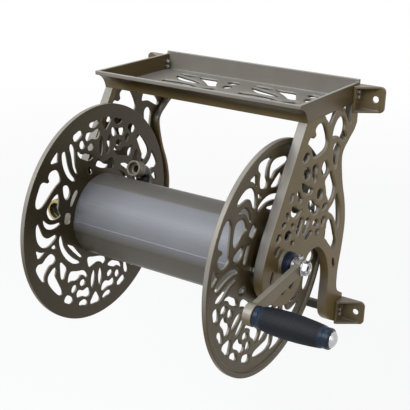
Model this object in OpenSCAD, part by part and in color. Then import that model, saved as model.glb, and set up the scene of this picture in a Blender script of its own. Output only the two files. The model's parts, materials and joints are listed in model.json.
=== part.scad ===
// Wall-mounted garden hose reel: two cast side frames with scrollwork, a tray on top,
// a drum between two fretted flanges, a hand crank and a swivelling water inlet.
// X runs along the axle towards the crank, Y towards the wall and Z up, in millimetres.
// The origin is the centre of the four wall bolts, on the face of the wall.

/* [Wall mounting] */
// Distance between the left and right wall bolts
stud_spacing = 406.4; // [402:0.2:430]
// Distance between the upper and lower wall bolts
bolt_rise = 354; // [340:1:370]
// Diameter of the wall bolt holes
bolt_hole_d = 10; // [6:0.5:12]
// Height of a wall bracket
bracket_h = 40; // [37:1:41]
// Thickness of the brackets' plates
bracket_t = 4; // [3:0.5:5]
// Reach of a bracket's side wall from the wall
bracket_reach = 26; // [22:1:32]

/* [Side frames] */
// Depth of the frame casting along the axle
frame_t = 14.5; // [12:0.5:16]
// Thickness of the scrollwork web
web_t = 5; // [4:0.5:7]
// Diameter of the bearing boss
boss_d = 34; // [32:0.5:40]
// How far the bearing boss stands out of the frame
boss_out = 5; // [3:0.5:7]

/* [Reel] */
// Distance of the axle from the wall
axle_out = 219; // [212:1:226]
// Distance of the axle below the centre of the bolts
axle_drop = 19.4; // [14:0.2:24]
// Clear width for the hose, between the flanges
hose_width = 302; // [270:1:304]
// Diameter of the flanges
flange_d = 346; // [330:1:350]
// Thickness of the flange's rim, lip included
rim_t = 7.5; // [6:0.5:9]
// Thickness of the flange's web
flange_web_t = 4; // [3:0.5:5]
// Width of the flange's plain rim band
rim_band = 15; // [12:0.5:18]
// Width of the lip round the flange's outer face
lip_w = 8; // [5:0.5:10]
// Gap between a flange's lip and the side frame
rim_gap = 3; // [2:0.5:5]
// Diameter of the drum
drum_d = 130; // [124:1:136]
// Wall of the drum
drum_wall = 2; // [1.5:0.1:3]
// Diameter of the axle tube
axle_d = 20; // [18:0.5:21]
// Diameter of the tie rods that clamp the flanges
tie_rod_d = 6; // [5:0.5:8]
// Radius of the circle of tie rods
tie_rod_r = 48; // [40:1:52]

/* [Tray] */
// Reach of the tray's front rim from the wall
tray_reach = 197.8; // [190:0.2:206]
// Depth of the tray, from rim to underside
tray_depth = 29.5; // [28:0.5:34]
// Height of the tray's rim above the upper wall bolts
rim_rise = 23.2; // [20:0.2:25]
// Thickness of the tray's walls
tray_wall = 5; // [4:0.5:6]
// Thickness of the tray's floor
tray_floor_t = 4.3; // [3:0.1:6]
// How far the tray's back edge stands above its rim
back_rise = 4; // [0:0.5:8]

/* [Crank] */
// Radius of the crank, from axle to grip
crank_r = 137; // [115:1:150]
// Angle of the crank below level
crank_droop = 7; // [0:1:20]
// Thickness of the crank arm
crank_t = 9; // [7:0.5:11]
// Diameter of the crank's hub
crank_hub_d = 26; // [22:1:30]
// Diameter of the eye that carries the grip
crank_eye_d = 30; // [26:1:32]
// Length of the grip
grip_len = 105; // [90:1:120]
// Largest diameter of the grip
grip_d = 36; // [30:1:40]
// Diameter of the grip's spindle
spindle_d = 10; // [8:0.5:11]

/* [Water fittings] */
// Distance from the left bush to the centre of the inlet elbow
elbow_out = 19; // [17:0.5:24]
// Outer diameter of the brass elbow
elbow_d = 26; // [24:0.5:28]
// Outer diameter of the inlet's swivel nut
inlet_nut_d = 34; // [31.5:0.5:38]
// Bore of the hose thread in the swivel nut
hose_thread_d = 26.6; // [26:0.1:27]
// Outer diameter of the threaded outlet
outlet_d = 25; // [23:0.5:26]
// Distance of the outlet from the left flange
outlet_from_flange = 50; // [35:1:90]

/* [Hidden] */
$fn = 64;

// Clearances
run_fit = 0.05;      // radial clearance of a turning fit
seat_gap = 0.3;      // gap beside a face that turns
slip_fit = 0.1;      // radial clearance of a screw in its hole

// Places along the axle
flange_in = hose_width / 2;
outlet_x = flange_in - outlet_from_flange;
flange_out = flange_in + rim_t;
frame_in = flange_out + rim_gap;
frame_out = frame_in + frame_t;
boss_face = frame_out + boss_out;
bush_collar_t = 11;
bush_face = boss_face + bush_collar_t;
washer_t = 2;
washer_step = washer_t + slip_fit;
crank_in = bush_face + slip_fit + 2 * washer_step;
crank_hub_t = crank_t + 1;
crank_out = crank_in + crank_hub_t;
crank_nut_t = 9;
axle_end = crank_out + crank_nut_t - 1.5;

// Places up the wall and out from it
hole_x = stud_spacing / 2;
hole_z = bolt_rise / 2;
axle_y = -axle_out;
axle_z = -axle_drop;
rim_z = hole_z + rim_rise;
seat_z = rim_z - tray_depth;
foot_z = -hole_z - 20.9;

// The tray's hollow front: a cove struck from a centre below its rim
rim_lip_h = 5.7;
cove_set = 3.2;
cove_drop = 4.2;
cove_r = tray_depth - rim_lip_h + cove_drop;
cove_y = -(tray_reach + cove_set);
cove_z = seat_z - cove_drop;
seat_front = cove_y + sqrt(cove_r * cove_r - cove_drop * cove_drop);
tray_back = -1.4;

// Scrollwork is drawn in percent: u from the wall (0) to the axle (100), v from the
// axle (0) up to the tray's seat (86.5) and down to the foot (-100).
v_seat = 86.5;
u_seat = 79;
function span(a, b, t) = a + (b - a) * t;
function frame_y(u, v) =
    -u / 100 * span(axle_out, -seat_front / u_seat * 100, min(max(v / v_seat, 0), 1));
function frame_z(v) = v > 0 ? axle_z + v / v_seat * (seat_z - axle_z)
                            : axle_z + v / 100 * (axle_z - foot_z);
function on_frame(p) = [frame_y(p[0], p[1]), frame_z(p[1])];

// A closed curve through the points p, with n steps between neighbours
function bend(a, b, c, d, t) = 0.5 * (2 * b + (c - a) * t
    + (2 * a - 5 * b + 4 * c - d) * t * t + (3 * b - a - 3 * c + d) * t * t * t);
function loop(p, n) = let (m = len(p)) [
    for (i = [0 : m - 1], k = [0 : n - 1])
        bend(p[(i + m - 1) % m], p[i], p[(i + 1) % m], p[(i + 2) % m], k / n)
];
module frame_loop(p, n = 2) {
    polygon([for (q = loop(p, n)) on_frame(q)]);
}

// Outline of a side frame; it runs past the wall and the tray's seat, where it is cut
FRAME_OUTLINE = [
    [73.5, 95.5], [79, 86.5], [97.2, 56.8], [109.4, 37], [115.5, 27.1], [120, 20], [124, 12],
    [127, 3.5], [127.3, -5.5], [125, -15.5], [118, -26], [107, -35], [98, -38.8], [90, -40],
    [84, -38.3], [78.3, -34], [73.5, -29], [70.2, -22], [68, -14], [64.5, -9], [58, -6.7],
    [50, -7.6], [43.5, -12.5], [37.5, -19], [33, -27], [30, -36], [28.6, -46], [29, -57],
    [29.5, -68], [29, -77], [26.8, -84], [21, -90.5], [13, -96], [5, -101], [-3, -105],
    [-4, -90], [-3, -77], [2, -72.5], [7.5, -68.5], [11, -64], [12.3, -57], [12.2, -45.6],
    [10.6, -35], [9, -27], [7.3, -14], [6.5, -2], [7.9, 8.3], [10.8, 18.2], [15.3, 28.5],
    [18.4, 38], [20.5, 47], [20.6, 52.5], [18, 56.5], [14, 59.5], [9.5, 62.8], [4.5, 66],
    [1, 70], [-3, 76], [-5, 86], [-4, 96], [35, 97]
];
// Inner edge of the frame's deep border
FRAME_POCKET = [
    [69, 92], [74.3, 83.6], [86.5, 63.7], [98.6, 43.9], [106.7, 30.8], [112.5, 21.5],
    [116.2, 14], [119.5, 5], [120.3, -4], [118.5, -13], [113, -21.5], [104.5, -28.5],
    [97, -31.7], [90.5, -32.6], [85.8, -31.2], [81, -27.8], [76.5, -22], [73.8, -14],
    [69.5, -6.5], [65, -2.2], [58, -0.2], [50, -1], [42.5, -5], [35.8, -12], [30.8, -19],
    [27.5, -24], [24.5, -26.4], [18, -26], [13.5, -23.5], [11.2, -19], [10.1, -13], [9.3, -2],
    [10.7, 8], [13.5, 17.5], [18, 28], [21.2, 37.5], [23.3, 46.5], [23.5, 53], [20.5, 57.5],
    [15.8, 61.3], [11.8, 65], [9, 70.5], [8.3, 77], [8, 85], [8, 93], [38, 94]
];
// Openings of the side frame's scrollwork
FRAME_SCROLLS = [
    // Hooked comma under the tray and the two triangles behind it
    [[74.5, 72.6], [71.3, 75.4], [69, 74.8], [67.1, 74.3], [64.8, 75.8], [65, 79.3], [62, 81.8],
     [57.5, 82.2], [53.4, 80.2], [50, 75.6], [47.4, 70.3], [46.4, 66.5], [49, 63.2],
     [57, 61.2], [64.4, 61.1], [67.6, 63.9], [69.9, 68], [72.6, 70.8]],
    [[55.5, 89], [37.5, 89], [39.5, 83.5], [44, 79.3], [47.5, 81.8], [51.5, 85]],
    [[26, 89], [10.8, 89], [10.2, 80], [10.6, 72.6], [14.5, 75.6], [19.5, 81], [23, 85.5]],
    // Loop with a curled tip and the slot below it
    [[38, 69.5], [36.8, 74], [33.5, 78], [29, 80.3], [24.5, 79.8], [21.6, 77], [20.4, 73],
     [20.4, 69.6], [18.6, 66.6], [17, 64], [18.6, 62.4], [21.5, 63.4], [26, 65.8], [30.5, 68],
     [35, 68.7]],
    [[31, 63], [27.8, 61], [26.7, 57.5], [27.3, 54], [27.8, 50.5], [28.3, 47], [30, 45],
     [32, 47.5], [34.5, 52], [35.5, 57.5], [35, 61], [33, 62.7]],
    // Long slot and crescent beside the rear post
    [[37.5, 45], [35, 41], [32, 36.5], [29.5, 32], [29.5, 28], [31.5, 24.3], [34.7, 22.5],
     [38, 24.2], [41, 29], [43.7, 34], [45, 39.5], [43.5, 41.5], [40.5, 43.4]],
    [[25, 25.5], [20.5, 19.5], [17.6, 12], [16.7, 4.5], [17.8, -1.6], [19.8, -1.8], [22, 2.5],
     [25, 7], [29.5, 11.5], [35, 15], [34.6, 16.6], [31, 18.5], [28, 21], [26.4, 23.6]],
    [[33, 9], [30, 7], [27, 2.5], [24, -4], [21.6, -10.5], [20.6, -15.5], [21.3, -19.5],
     [23.5, -20.3], [28, -16.3], [34.4, -9.2], [39.2, -4], [40.6, -1], [39.5, 1.5], [38, 4],
     [37, 7.5], [35.3, 9]],
    // Middle of the panel
    [[75, 66.5], [72.7, 64.7], [73.5, 62.5], [77.5, 61], [80.6, 62], [80, 64.5], [77.5, 66]],
    [[74, 56.5], [70.6, 54], [69.5, 50.6], [71.5, 48.5], [74.5, 48.5], [77, 50], [78.3, 52],
     [77.8, 54.5], [76.2, 56.2]],
    [[61.5, 55.2], [60, 52.5], [60.4, 49], [60, 44.8], [61.8, 43.2], [63.8, 45.5], [65.5, 49],
     [66.8, 52], [66.3, 54.4], [64, 55.4]],
    [[80.3, 47.4], [77.5, 46.6], [74, 44.8], [70, 42.4], [65.5, 40.4], [64, 38.5], [66, 37.3],
     [71.5, 38.4], [76, 40], [79.3, 43.5]],
    [[46, 54], [44, 51.5], [42.2, 47.8], [43.2, 45], [47, 44.6], [50.2, 46.3], [51.5, 49],
     [50.5, 51.7], [48.8, 53.5]],
    [[52, 36], [49, 34.5], [48, 31.5], [49.4, 29.3], [53, 29], [56, 30.7], [56.2, 33.5],
     [54.5, 35.5]],
    [[40.6, 23], [39.8, 21.4], [42.5, 19.8], [45.5, 20], [46.5, 21.9], [43.5, 23.2]],
    [[85, 43], [82.5, 41.8], [81, 39], [79, 36.8], [80.5, 35.3], [82.3, 35], [84, 36.7],
     [84.3, 39], [85.4, 41.2]],
    [[65.5, 32], [61.5, 30], [59.5, 27.7], [55.5, 25.7], [53, 23.2], [54.2, 20.7], [58, 20.2],
     [62, 22], [65, 25], [67.5, 27.5], [68.2, 30], [67.2, 31.5]],
    [[93.5, 44.5], [92, 42.5], [92.8, 40], [94.6, 39], [96, 40.5], [95.5, 43]],
    [[89.5, 34.5], [85.5, 32.2], [83.3, 30.6], [79, 29.2], [81, 27.8], [85, 26], [89, 27],
     [92, 29], [93.5, 31.6], [92, 34.4]],
    [[97.4, 32.6], [96, 30.5], [96.7, 28.3], [98.6, 28.3], [99.8, 30.5], [99.2, 32.4]],
    [[101, 27.6], [99.8, 25.7], [102.5, 24.4], [105, 25.4], [104.4, 27.2]],
    [[90.5, 23.6], [88.5, 21.7], [89, 20], [91, 20.3], [92.3, 22.5]],
    [[94.5, 19.6], [92, 17.7], [92, 15.2], [95.5, 13.4], [99.3, 14.8], [99.7, 17.4],
     [98, 19.4]],
    [[109.3, 21.8], [106, 20], [106.5, 17.6], [109.3, 16.6], [111.8, 17.8], [111.2, 20.2]],
    [[89, 11.2], [87.4, 9.6], [88, 8], [90.3, 8.4], [92.6, 9.8], [91.5, 11.3]],
    [[78.5, 24], [76.5, 21.5], [77.5, 18], [79.5, 15], [81.7, 12.8], [83.5, 14], [83.5, 17.5],
     [81.7, 20.5], [80.2, 23.4]],
    [[68, 20.5], [66, 18.2], [67.3, 15.5], [69.3, 13.5], [71, 11.3], [74, 10.9], [74.7, 13.5],
     [72.9, 15.7], [71.7, 18], [70, 20]],
    [[63.5, 10], [61, 8.2], [63.5, 6.3], [67.5, 5.2], [70.7, 5.6], [70.9, 7.4], [67.5, 9.4]],
    [[54, 15.2], [52.3, 12.7], [52, 10.6], [55.5, 10.2], [59.6, 12.6], [59.2, 14.6],
     [56.5, 15.3]],
    [[54.2, 7.8], [51.2, 7.4], [50.4, 5], [52, 3.4], [55.5, 3.8], [56.6, 6]],
    [[46, 13.2], [43.2, 14], [41.5, 11.5], [43, 8.6], [45.4, 8.2], [47, 10.6]],
    // Between the front post and the bearing, and the bottom of its lobe
    [[108.3, 12.8], [106, 11.8], [107.6, 9.9], [110.2, 7.2], [112, 8], [112.2, 10.5],
     [110.4, 12.7]],
    [[117.5, -9], [114.5, -2], [112.6, -4], [114.8, -12]],
    [[110.3, -12.5], [105, -17.5], [106.5, -24], [111.5, -19.5]],
    [[100.2, -21], [94.8, -23], [95.6, -29.3], [101.2, -27.5]],
    [[91, -23], [85.4, -19.5], [83, -24.5], [87.4, -29.5]]
];
// Small slot low in the rear post
POST_SLOT = [
    [22.3, -29], [20.3, -32], [19, -36.5], [18.9, -39.3], [20.8, -39.5], [22.8, -36],
    [23.8, -32.5], [23.8, -29.8]
];

bearing_r = boss_d / 2 + 10;
split_v = 4;
tail_v = -8;
split_u = 52;

module above_foot() {
    translate([-2 * axle_out, foot_z]) square([2 * axle_out, seat_z - foot_z]);
}
module pocket_shape() {
    intersection() {
        frame_loop(FRAME_POCKET, 4);
        above_foot();
    }
}
// The part of the web that carries the bearing and belongs to the frame itself
module bearing_zone() {
    polygon([for (p = [[150, split_v], [split_u, split_v], [split_u, tail_v], [-5, tail_v],
                       [-5, -110], [150, -110]]) on_frame(p)]);
    translate([axle_y, axle_z]) circle(bearing_r);
}
module scroll_openings() {
    for (p = FRAME_SCROLLS) frame_loop(p);
}
// Draws a shape in the plane of a side frame, from x0 outwards
module upright(x0, t) {
    translate([x0, 0, 0]) rotate([90, 0, 90]) linear_extrude(t) children();
}
module at_axle(x0) {
    translate([x0, axle_y, axle_z]) rotate([0, 90, 0]) children();
}
module mirrored() {
    mirror([1, 0, 0]) children();
}

// Screws along X: the tray's ends and the feet each have two screws a side
end_screw_d = 4.4;
end_screw_y = -(bracket_reach + bracket_t) / 2;
end_screw_step = 8.4;
gusset_t = bracket_t - 0.5;
tray_screw_z = (seat_z + tray_floor_t + hole_z + bracket_h / 2 - gusset_t) / 2;
foot_screw_z = -hole_z;
function screw_pair(z) = [for (s = [-0.5, 0.5]) z + s * end_screw_step];

// Screws that hold the tray's floor to the tops of the frames
floor_screw_d = 5;
floor_screw_x = frame_in + 4.7;
floor_screw_y = [seat_front + 7.8];
floor_screw_len = 14;

module side_frame() {
    difference() {
        union() {
            upright(frame_in, frame_t) difference() {
                intersection() {
                    frame_loop(FRAME_OUTLINE, 4);
                    above_foot();
                }
                pocket_shape();
            }
            upright(frame_out - web_t, web_t) difference() {
                intersection() {
                    pocket_shape();
                    bearing_zone();
                }
                scroll_openings();
            }
            at_axle(frame_in + 1.5) cylinder(d = boss_d, h = frame_t - 1.5 + boss_out);
        }
        at_axle(frame_in - 1) cylinder(r = bush_r + slip_fit, h = frame_t + boss_out + 2);
        upright(frame_in - 1, frame_t + 2) frame_loop(POST_SLOT);
        for (z = screw_pair(foot_screw_z))
            translate([frame_in - 1, end_screw_y, z]) rotate([0, 90, 0])
                cylinder(d = end_screw_d + 2 * slip_fit, h = frame_t + 2);
        for (y = floor_screw_y)
            translate([floor_screw_x, y, seat_z - floor_screw_len])
                cylinder(d = floor_screw_d + 2 * slip_fit, h = floor_screw_len + 1);
    }
}

module scroll_panel() {
    upright(frame_out - web_t, web_t) difference() {
        pocket_shape();
        bearing_zone();
        scroll_openings();
    }
}

module right_side_frame() { color("#5f523f") side_frame(); }
module left_side_frame() { color("#5f523f") mirrored() side_frame(); }
module right_scroll_panel() { color("#6b5d47") scroll_panel(); }
module left_scroll_panel() { color("#6b5d47") mirrored() scroll_panel(); }

// The tray: a shallow box whose front wall is a cove, with a fretted floor let into it
lip_t = tray_wall;
front_wall_t = 4;
grille_border = 10;
grille_x = frame_in - 1.5;
grille_inset = 12;
grille_front = seat_front + grille_inset;
grille_back = tray_back - tray_wall - grille_border;

module tray_outline(extra) {
    difference() {
        translate([-tray_reach, seat_z]) square([tray_reach + tray_back, tray_depth + extra]);
        translate([cove_y, cove_z]) circle(cove_r);
    }
}
module tray_cavity() {
    difference() {
        translate([-tray_reach + lip_t, seat_z + tray_floor_t])
            square([tray_reach - lip_t + tray_back - tray_wall, 2 * tray_depth]);
        translate([cove_y, cove_z]) circle(cove_r + front_wall_t);
    }
}
module top_tray() {
    color("#6e675c") difference() {
        union() {
            upright(-frame_out, 2 * frame_out) tray_outline(0);
            translate([-frame_out, tray_back - tray_wall, seat_z + tray_depth / 2])
                cube([2 * frame_out, tray_wall, tray_depth / 2 + back_rise]);
        }
        upright(-frame_out + tray_wall, 2 * (frame_out - tray_wall)) tray_cavity();
        translate([-grille_x, grille_front, seat_z - 1])
            cube([2 * grille_x, grille_back - grille_front, tray_floor_t + 2]);
        for (side = [-1, 1], z = screw_pair(tray_screw_z))
            translate([side * frame_out, end_screw_y, z]) rotate([0, 90, 0])
                cylinder(d = end_screw_d + 2 * slip_fit, h = 4 * tray_wall, center = true);
        for (side = [-1, 1], y = floor_screw_y)
            translate([side * floor_screw_x, y, seat_z - 1])
                cylinder(d = floor_screw_d + 2 * slip_fit, h = tray_floor_t + 2);
    }
}

// The grille's scrolls, in millimetres across and percent of its depth from the back;
// the same motif is cast twice, side by side
GRILLE_SCROLLS = [
    [[-20, 11], [-9, 10], [11, 10], [18, 17], [26, 28], [34, 38], [24, 40], [12, 32], [0, 24],
     [-12, 17]],
    [[-56, 18], [-39, 22], [-21, 26], [-4, 32], [4, 38], [-9, 39], [-29, 37], [-41, 32],
     [-51, 25]],
    [[-60, 8], [-45, 7], [-30, 9], [-26, 13], [-36, 16], [-52, 13]],
    [[-56, 46], [-40, 43], [-20, 44], [0, 47], [16, 54], [4, 56], [-18, 52], [-38, 52],
     [-52, 53]],
    [[-12, 61], [8, 60], [26, 52], [40, 46], [44, 52], [34, 62], [18, 68], [-4, 69]],
    [[-58, 62], [-40, 58], [-24, 61], [-20, 68], [-32, 75], [-50, 73]],
    [[-10, 79], [10, 76], [30, 70], [44, 66], [46, 74], [30, 84], [8, 90], [-10, 88]],
    [[-58, 84], [-40, 80], [-22, 82], [-20, 90], [-40, 93], [-56, 92]],
    [[38, 8], [52, 8], [56, 14], [48, 20], [38, 16]],
    [[44, 27], [54, 25], [57, 36], [50, 40]],
    [[34, 90], [52, 82], [58, 88], [48, 93]]
];
motif_pitch = 0.89 * grille_x;
function on_grille(p, side) = [
    side * motif_pitch / 2 + p[0] * motif_pitch / 142,
    span(grille_back, grille_front, p[1] / 100)
];
module tray_grille() {
    color("#7a7266") translate([0, 0, seat_z]) linear_extrude(tray_floor_t) difference() {
        translate([-grille_x, grille_front])
            square([2 * grille_x, grille_back - grille_front]);
        for (side = [-1, 1], p = GRILLE_SCROLLS)
            polygon([for (q = loop(p, 2)) on_grille(q, side)]);
    }
}

// A wall bracket: a plate on the wall, a side wall against the frame and two gussets
ear_end = hole_x + 14.8;
ear_round = 8;
module bracket(zs) {
    difference() {
        union() {
            intersection() {
                translate([frame_out, -bracket_t, -bracket_h / 2])
                    cube([ear_end - frame_out, bracket_t, bracket_h]);
                rotate([90, 0, 0]) linear_extrude(2 * bracket_t, center = true) {
                    for (s = [-1, 1])
                        translate([ear_end - ear_round, s * (bracket_h / 2 - ear_round)])
                            circle(ear_round);
                    translate([frame_out, -bracket_h / 2])
                        square([ear_end - ear_round - frame_out, bracket_h]);
                    translate([frame_out, -bracket_h / 2 + ear_round])
                        square([ear_end - frame_out, bracket_h - 2 * ear_round]);
                }
            }
            translate([frame_out, -bracket_reach, -bracket_h / 2])
                cube([bracket_t, bracket_reach, bracket_h]);
            for (s = [0, 1])
                translate([0, 0, -bracket_h / 2 + s * (bracket_h - gusset_t)])
                    linear_extrude(gusset_t)
                        polygon([[frame_out, 0], [frame_out, -bracket_reach],
                                 [frame_out + bracket_t, -bracket_reach],
                                 [ear_end - ear_round, -bracket_t], [ear_end - ear_round, 0]]);
        }
        translate([hole_x, 1, 0]) rotate([90, 0, 0])
            cylinder(d = bolt_hole_d, h = 3 * bracket_t);
        for (z = zs)
            translate([frame_out - 1, end_screw_y, z]) rotate([0, 90, 0])
                cylinder(d = end_screw_d + 2 * slip_fit, h = bracket_t + 2);
    }
}
module upper_bracket() {
    translate([0, 0, hole_z]) bracket([for (z = screw_pair(tray_screw_z)) z - hole_z]);
}
module lower_bracket() {
    translate([0, 0, -hole_z]) bracket([for (z = screw_pair(foot_screw_z)) z + hole_z]);
}
module upper_right_bracket() { color("#665a48") upper_bracket(); }
module upper_left_bracket() { color("#665a48") mirrored() upper_bracket(); }
module lower_right_bracket() { color("#665a48") lower_bracket(); }
module lower_left_bracket() { color("#665a48") mirrored() lower_bracket(); }

// The rail between the feet, with a drilled lug at each end
rail_h = 13.3;
rail_t = 10;
rail_z = -hole_z - 4.1;
lug_t = 5;
lug_h = 28;
lug_y = -bracket_reach - 2;
module lower_rail() {
    color("#3c342b") difference() {
        union() {
            translate([-frame_in, tray_back - rail_t, rail_z - rail_h / 2])
                cube([2 * frame_in, rail_t, rail_h]);
            for (side = [-1, 1])
                translate([side * (frame_in - lug_t / 2), (lug_y + tray_back) / 2, foot_screw_z])
                    cube([lug_t, tray_back - lug_y, lug_h], center = true);
        }
        for (z = screw_pair(foot_screw_z))
            translate([0, end_screw_y, z]) rotate([0, 90, 0])
                cylinder(d = end_screw_d + 2 * slip_fit, h = 3 * frame_in, center = true);
    }
}

// Hexagon-headed screws and their nuts, along X from the outside in
screw_head_d = 7.8;
screw_head_t = 3.2;
screw_nut_t = 3.4;
module end_screw(z, stop) {
    translate([frame_out + bracket_t, end_screw_y, z]) rotate([0, 90, 0]) {
        cylinder(d = screw_head_d, h = screw_head_t, $fn = 6);
        translate([0, 0, stop - frame_out - bracket_t])
            cylinder(d = end_screw_d, h = frame_out + bracket_t - stop);
    }
}
module end_nut(z, face) {
    translate([face - screw_nut_t, end_screw_y, z]) rotate([0, 90, 0]) difference() {
        cylinder(d = screw_head_d, h = screw_nut_t, $fn = 6);
        translate([0, 0, -1]) cylinder(d = end_screw_d + 2 * slip_fit, h = screw_nut_t + 2);
    }
}
module both_sides() {
    children();
    mirrored() children();
}
tray_nut_face = frame_out - tray_wall;
foot_nut_face = frame_in - lug_t;
module tray_end_screws() {
    color("#b9b9b6") both_sides() for (z = screw_pair(tray_screw_z))
        end_screw(z, tray_nut_face - screw_nut_t - 2);
}
module tray_end_nuts() {
    color("#b9b9b6") both_sides() for (z = screw_pair(tray_screw_z)) end_nut(z, tray_nut_face);
}
module foot_screws() {
    color("#8f8b84") both_sides() for (z = screw_pair(foot_screw_z))
        end_screw(z, foot_nut_face - screw_nut_t - 2);
}
module foot_nuts() {
    color("#8f8b84") both_sides() for (z = screw_pair(foot_screw_z)) end_nut(z, foot_nut_face);
}
module tray_floor_screws() {
    color("#b9b9b6") for (side = [-1, 1], y = floor_screw_y)
        translate([side * floor_screw_x, y, seat_z + tray_floor_t]) {
            cylinder(d = 1.6 * floor_screw_d, h = 2.6);
            translate([0, 0, -tray_floor_t - floor_screw_len + 1])
                cylinder(d = floor_screw_d, h = tray_floor_t + floor_screw_len - 1);
        }
}

// Flanged bushes in the frames' bosses
axle_r = axle_d / 2;
bush_r = axle_r + 3.5;
bush_in = frame_in + 0.5;
module bush() {
    difference() {
        union() {
            at_axle(bush_in) cylinder(r = bush_r, h = boss_face - bush_in);
            at_axle(boss_face) cylinder(d = boss_d + 1, h = bush_collar_t);
        }
        at_axle(bush_in - 1) cylinder(r = axle_r + run_fit, h = bush_face - bush_in + 2);
    }
}
module right_bush() { color("#23262d") bush(); }
module left_bush() { color("#23262d") mirrored() bush(); }

// The flanges' fretwork is drawn over half a turn, in degrees from the middle of its
// lens motif and percent of the web from the drum (0) to the rim band (100), and the
// other half turn repeats it
flange_r = flange_d / 2;
drum_r = drum_d / 2;
fret_in = drum_r + 5.5;
fret_out = flange_r - rim_band;
LENS_PAIR = [
    [[4.7, 26], [7.1, 36], [6.9, 50], [4.8, 62], [2.6, 50], [2.4, 36]],
    [[19, 78], [13.5, 75], [8.5, 77], [6.3, 72], [7.5, 62], [11, 59], [15, 64], [19.5, 64],
     [21, 70]],
    [[15.5, 91], [7.5, 91], [8.5, 84], [11.5, 81], [14.5, 84]],
    [[30.5, 91], [24, 91], [23, 82], [26.5, 78.5], [30.3, 80]],
    [[25, 72.5], [22.8, 66], [23.2, 59], [25.5, 56.5], [27.8, 61], [27.6, 69]],
    [[17.5, 56.5], [14.6, 54], [14.2, 47], [17, 43.5], [20.3, 46.5], [20.6, 53]]
];
FLANGE_SCROLLS = [
    // Dome above the lens and crescent below it
    [[-4.2, 92], [4.2, 92], [3.5, 82], [0, 71], [-3.5, 82]],
    [[-20, 4], [-16, 16], [-12.5, 21], [-8, 18], [0, 13], [6, 16], [10, 23], [14, 18], [13, 11],
     [7, 5], [0, 2], [-10, 1.5]],
    // Scroll with a curled tip, and its plain partner
    [[-34.5, 59], [-31.3, 53], [-26.5, 49], [-24, 43.5], [-22.3, 37.5], [-19.5, 36], [-16.8, 38],
     [-14.5, 41], [-13.4, 36], [-17, 30], [-22.5, 28], [-29, 32.5], [-35.5, 37.5], [-38, 42],
     [-37.5, 50]],
    [[16.5, 31], [20, 38], [24.5, 46], [28.5, 50], [30.5, 60], [32, 57], [31, 46], [27, 36],
     [23, 29], [18, 28]],
    [[21, 6], [24, 17], [27.5, 17], [27, 7], [24, 3]],
    // Long crescents beside the drum
    [[-63.5, 16], [-55.5, 13], [-45.5, 10], [-35.5, 9], [-31.5, 7], [-33.5, 5], [-43.5, 4],
     [-53.5, 5], [-58.5, 9]],
    [[-78, 28], [-74.5, 33], [-66.5, 34], [-55.5, 32], [-43.5, 27.5], [-36.5, 23.5], [-31, 17],
     [-36, 16.5], [-48.5, 20], [-63.5, 24], [-73.5, 25]],
    // Leaves
    [[-55, 45], [-49.5, 54], [-43.6, 62], [-41, 58], [-42.4, 49], [-44.5, 41], [-50.5, 41]],
    [[-56.5, 60], [-57, 67], [-55.8, 80], [-52.5, 86], [-45.5, 87], [-38, 86.5], [-35.5, 82],
     [-38, 75.5], [-44.5, 70], [-50.5, 66.5], [-54, 59]],
    [[-67, 98], [-62.5, 98], [-57, 95], [-55.5, 91.5], [-58.2, 86], [-60, 78], [-61, 67],
     [-60, 58], [-61.8, 51], [-64.5, 51], [-68, 56], [-69, 62], [-68.5, 71], [-67.3, 82],
     [-68.3, 90]],
    [[-77, 89], [-71.8, 88], [-71.9, 79], [-73, 69], [-74, 77], [-75.6, 84]],
    [[-73.5, 46], [-73, 53.5], [-69.8, 46.5], [-71, 43]],
    // Nested crescents, rim to drum
    [[-93, 84], [-91, 88], [-85.5, 87], [-81, 83], [-77, 74], [-75.3, 63], [-75.8, 51],
     [-78.5, 40], [-80.6, 39], [-81.6, 43], [-81.3, 53], [-81.8, 62], [-84.5, 70], [-89.5, 77]],
    [[-95, 72], [-91.5, 69], [-88.5, 61], [-87, 49], [-87.5, 38], [-89.5, 29], [-91, 32],
     [-90.7, 44], [-91.2, 55], [-93, 64]],
    [[-114, 48], [-112, 55], [-107.5, 61], [-101.5, 66], [-98.2, 63], [-95.3, 56], [-94.2, 46],
     [-95.3, 36], [-97.5, 30], [-99.5, 33], [-103.5, 39], [-109.5, 41.5]],
    [[-98.5, 16], [-89, 17], [-87, 10.5], [-88, 4], [-98.5, 4], [-99.5, 10]],
    // Heart, slots and ovals on the far side of the lens
    [[55.5, 58], [53.2, 66], [52.6, 76], [54.4, 84], [57, 88.5], [59.5, 87], [61, 82],
     [62.5, 84], [63, 92], [64.5, 98], [69.5, 99], [74.5, 98.5], [77.5, 94], [78, 87],
     [76.3, 79], [71.5, 71.5], [65.5, 65], [60.5, 60], [58, 57]],
    [[44.5, 96], [48.5, 98], [52, 97], [51.3, 91], [49.8, 87], [48.5, 84], [46.8, 88]],
    [[40.3, 82], [42.2, 86], [44.2, 82], [46.8, 71], [48.8, 59], [50.3, 44], [49.9, 30],
     [48, 24], [46.3, 26], [46.2, 38], [45.2, 49], [43.3, 62], [41.2, 74]],
    [[33, 79], [34.6, 84], [36.4, 79], [37.3, 70], [38.8, 59], [41.2, 46], [42.2, 34],
     [41.2, 28], [39.8, 32], [39, 40], [37.2, 49], [34.8, 59], [33, 69]],
    [[57, 40], [58.8, 43], [61, 40.5], [65, 33], [67.6, 26], [67.2, 21], [64.5, 19], [60.5, 20],
     [57.3, 25], [55.9, 33]],
    [[53, 8], [61.5, 11], [71, 9], [73, 6], [66.5, 3], [54.5, 3]]
];
function on_flange(p) = let (r = span(fret_in, fret_out, p[1] / 100))
    [r * cos(p[0]), r * sin(p[0])];
module flange_loop(p) {
    polygon([for (q = loop(p, 2)) on_flange(q)]);
}
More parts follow.
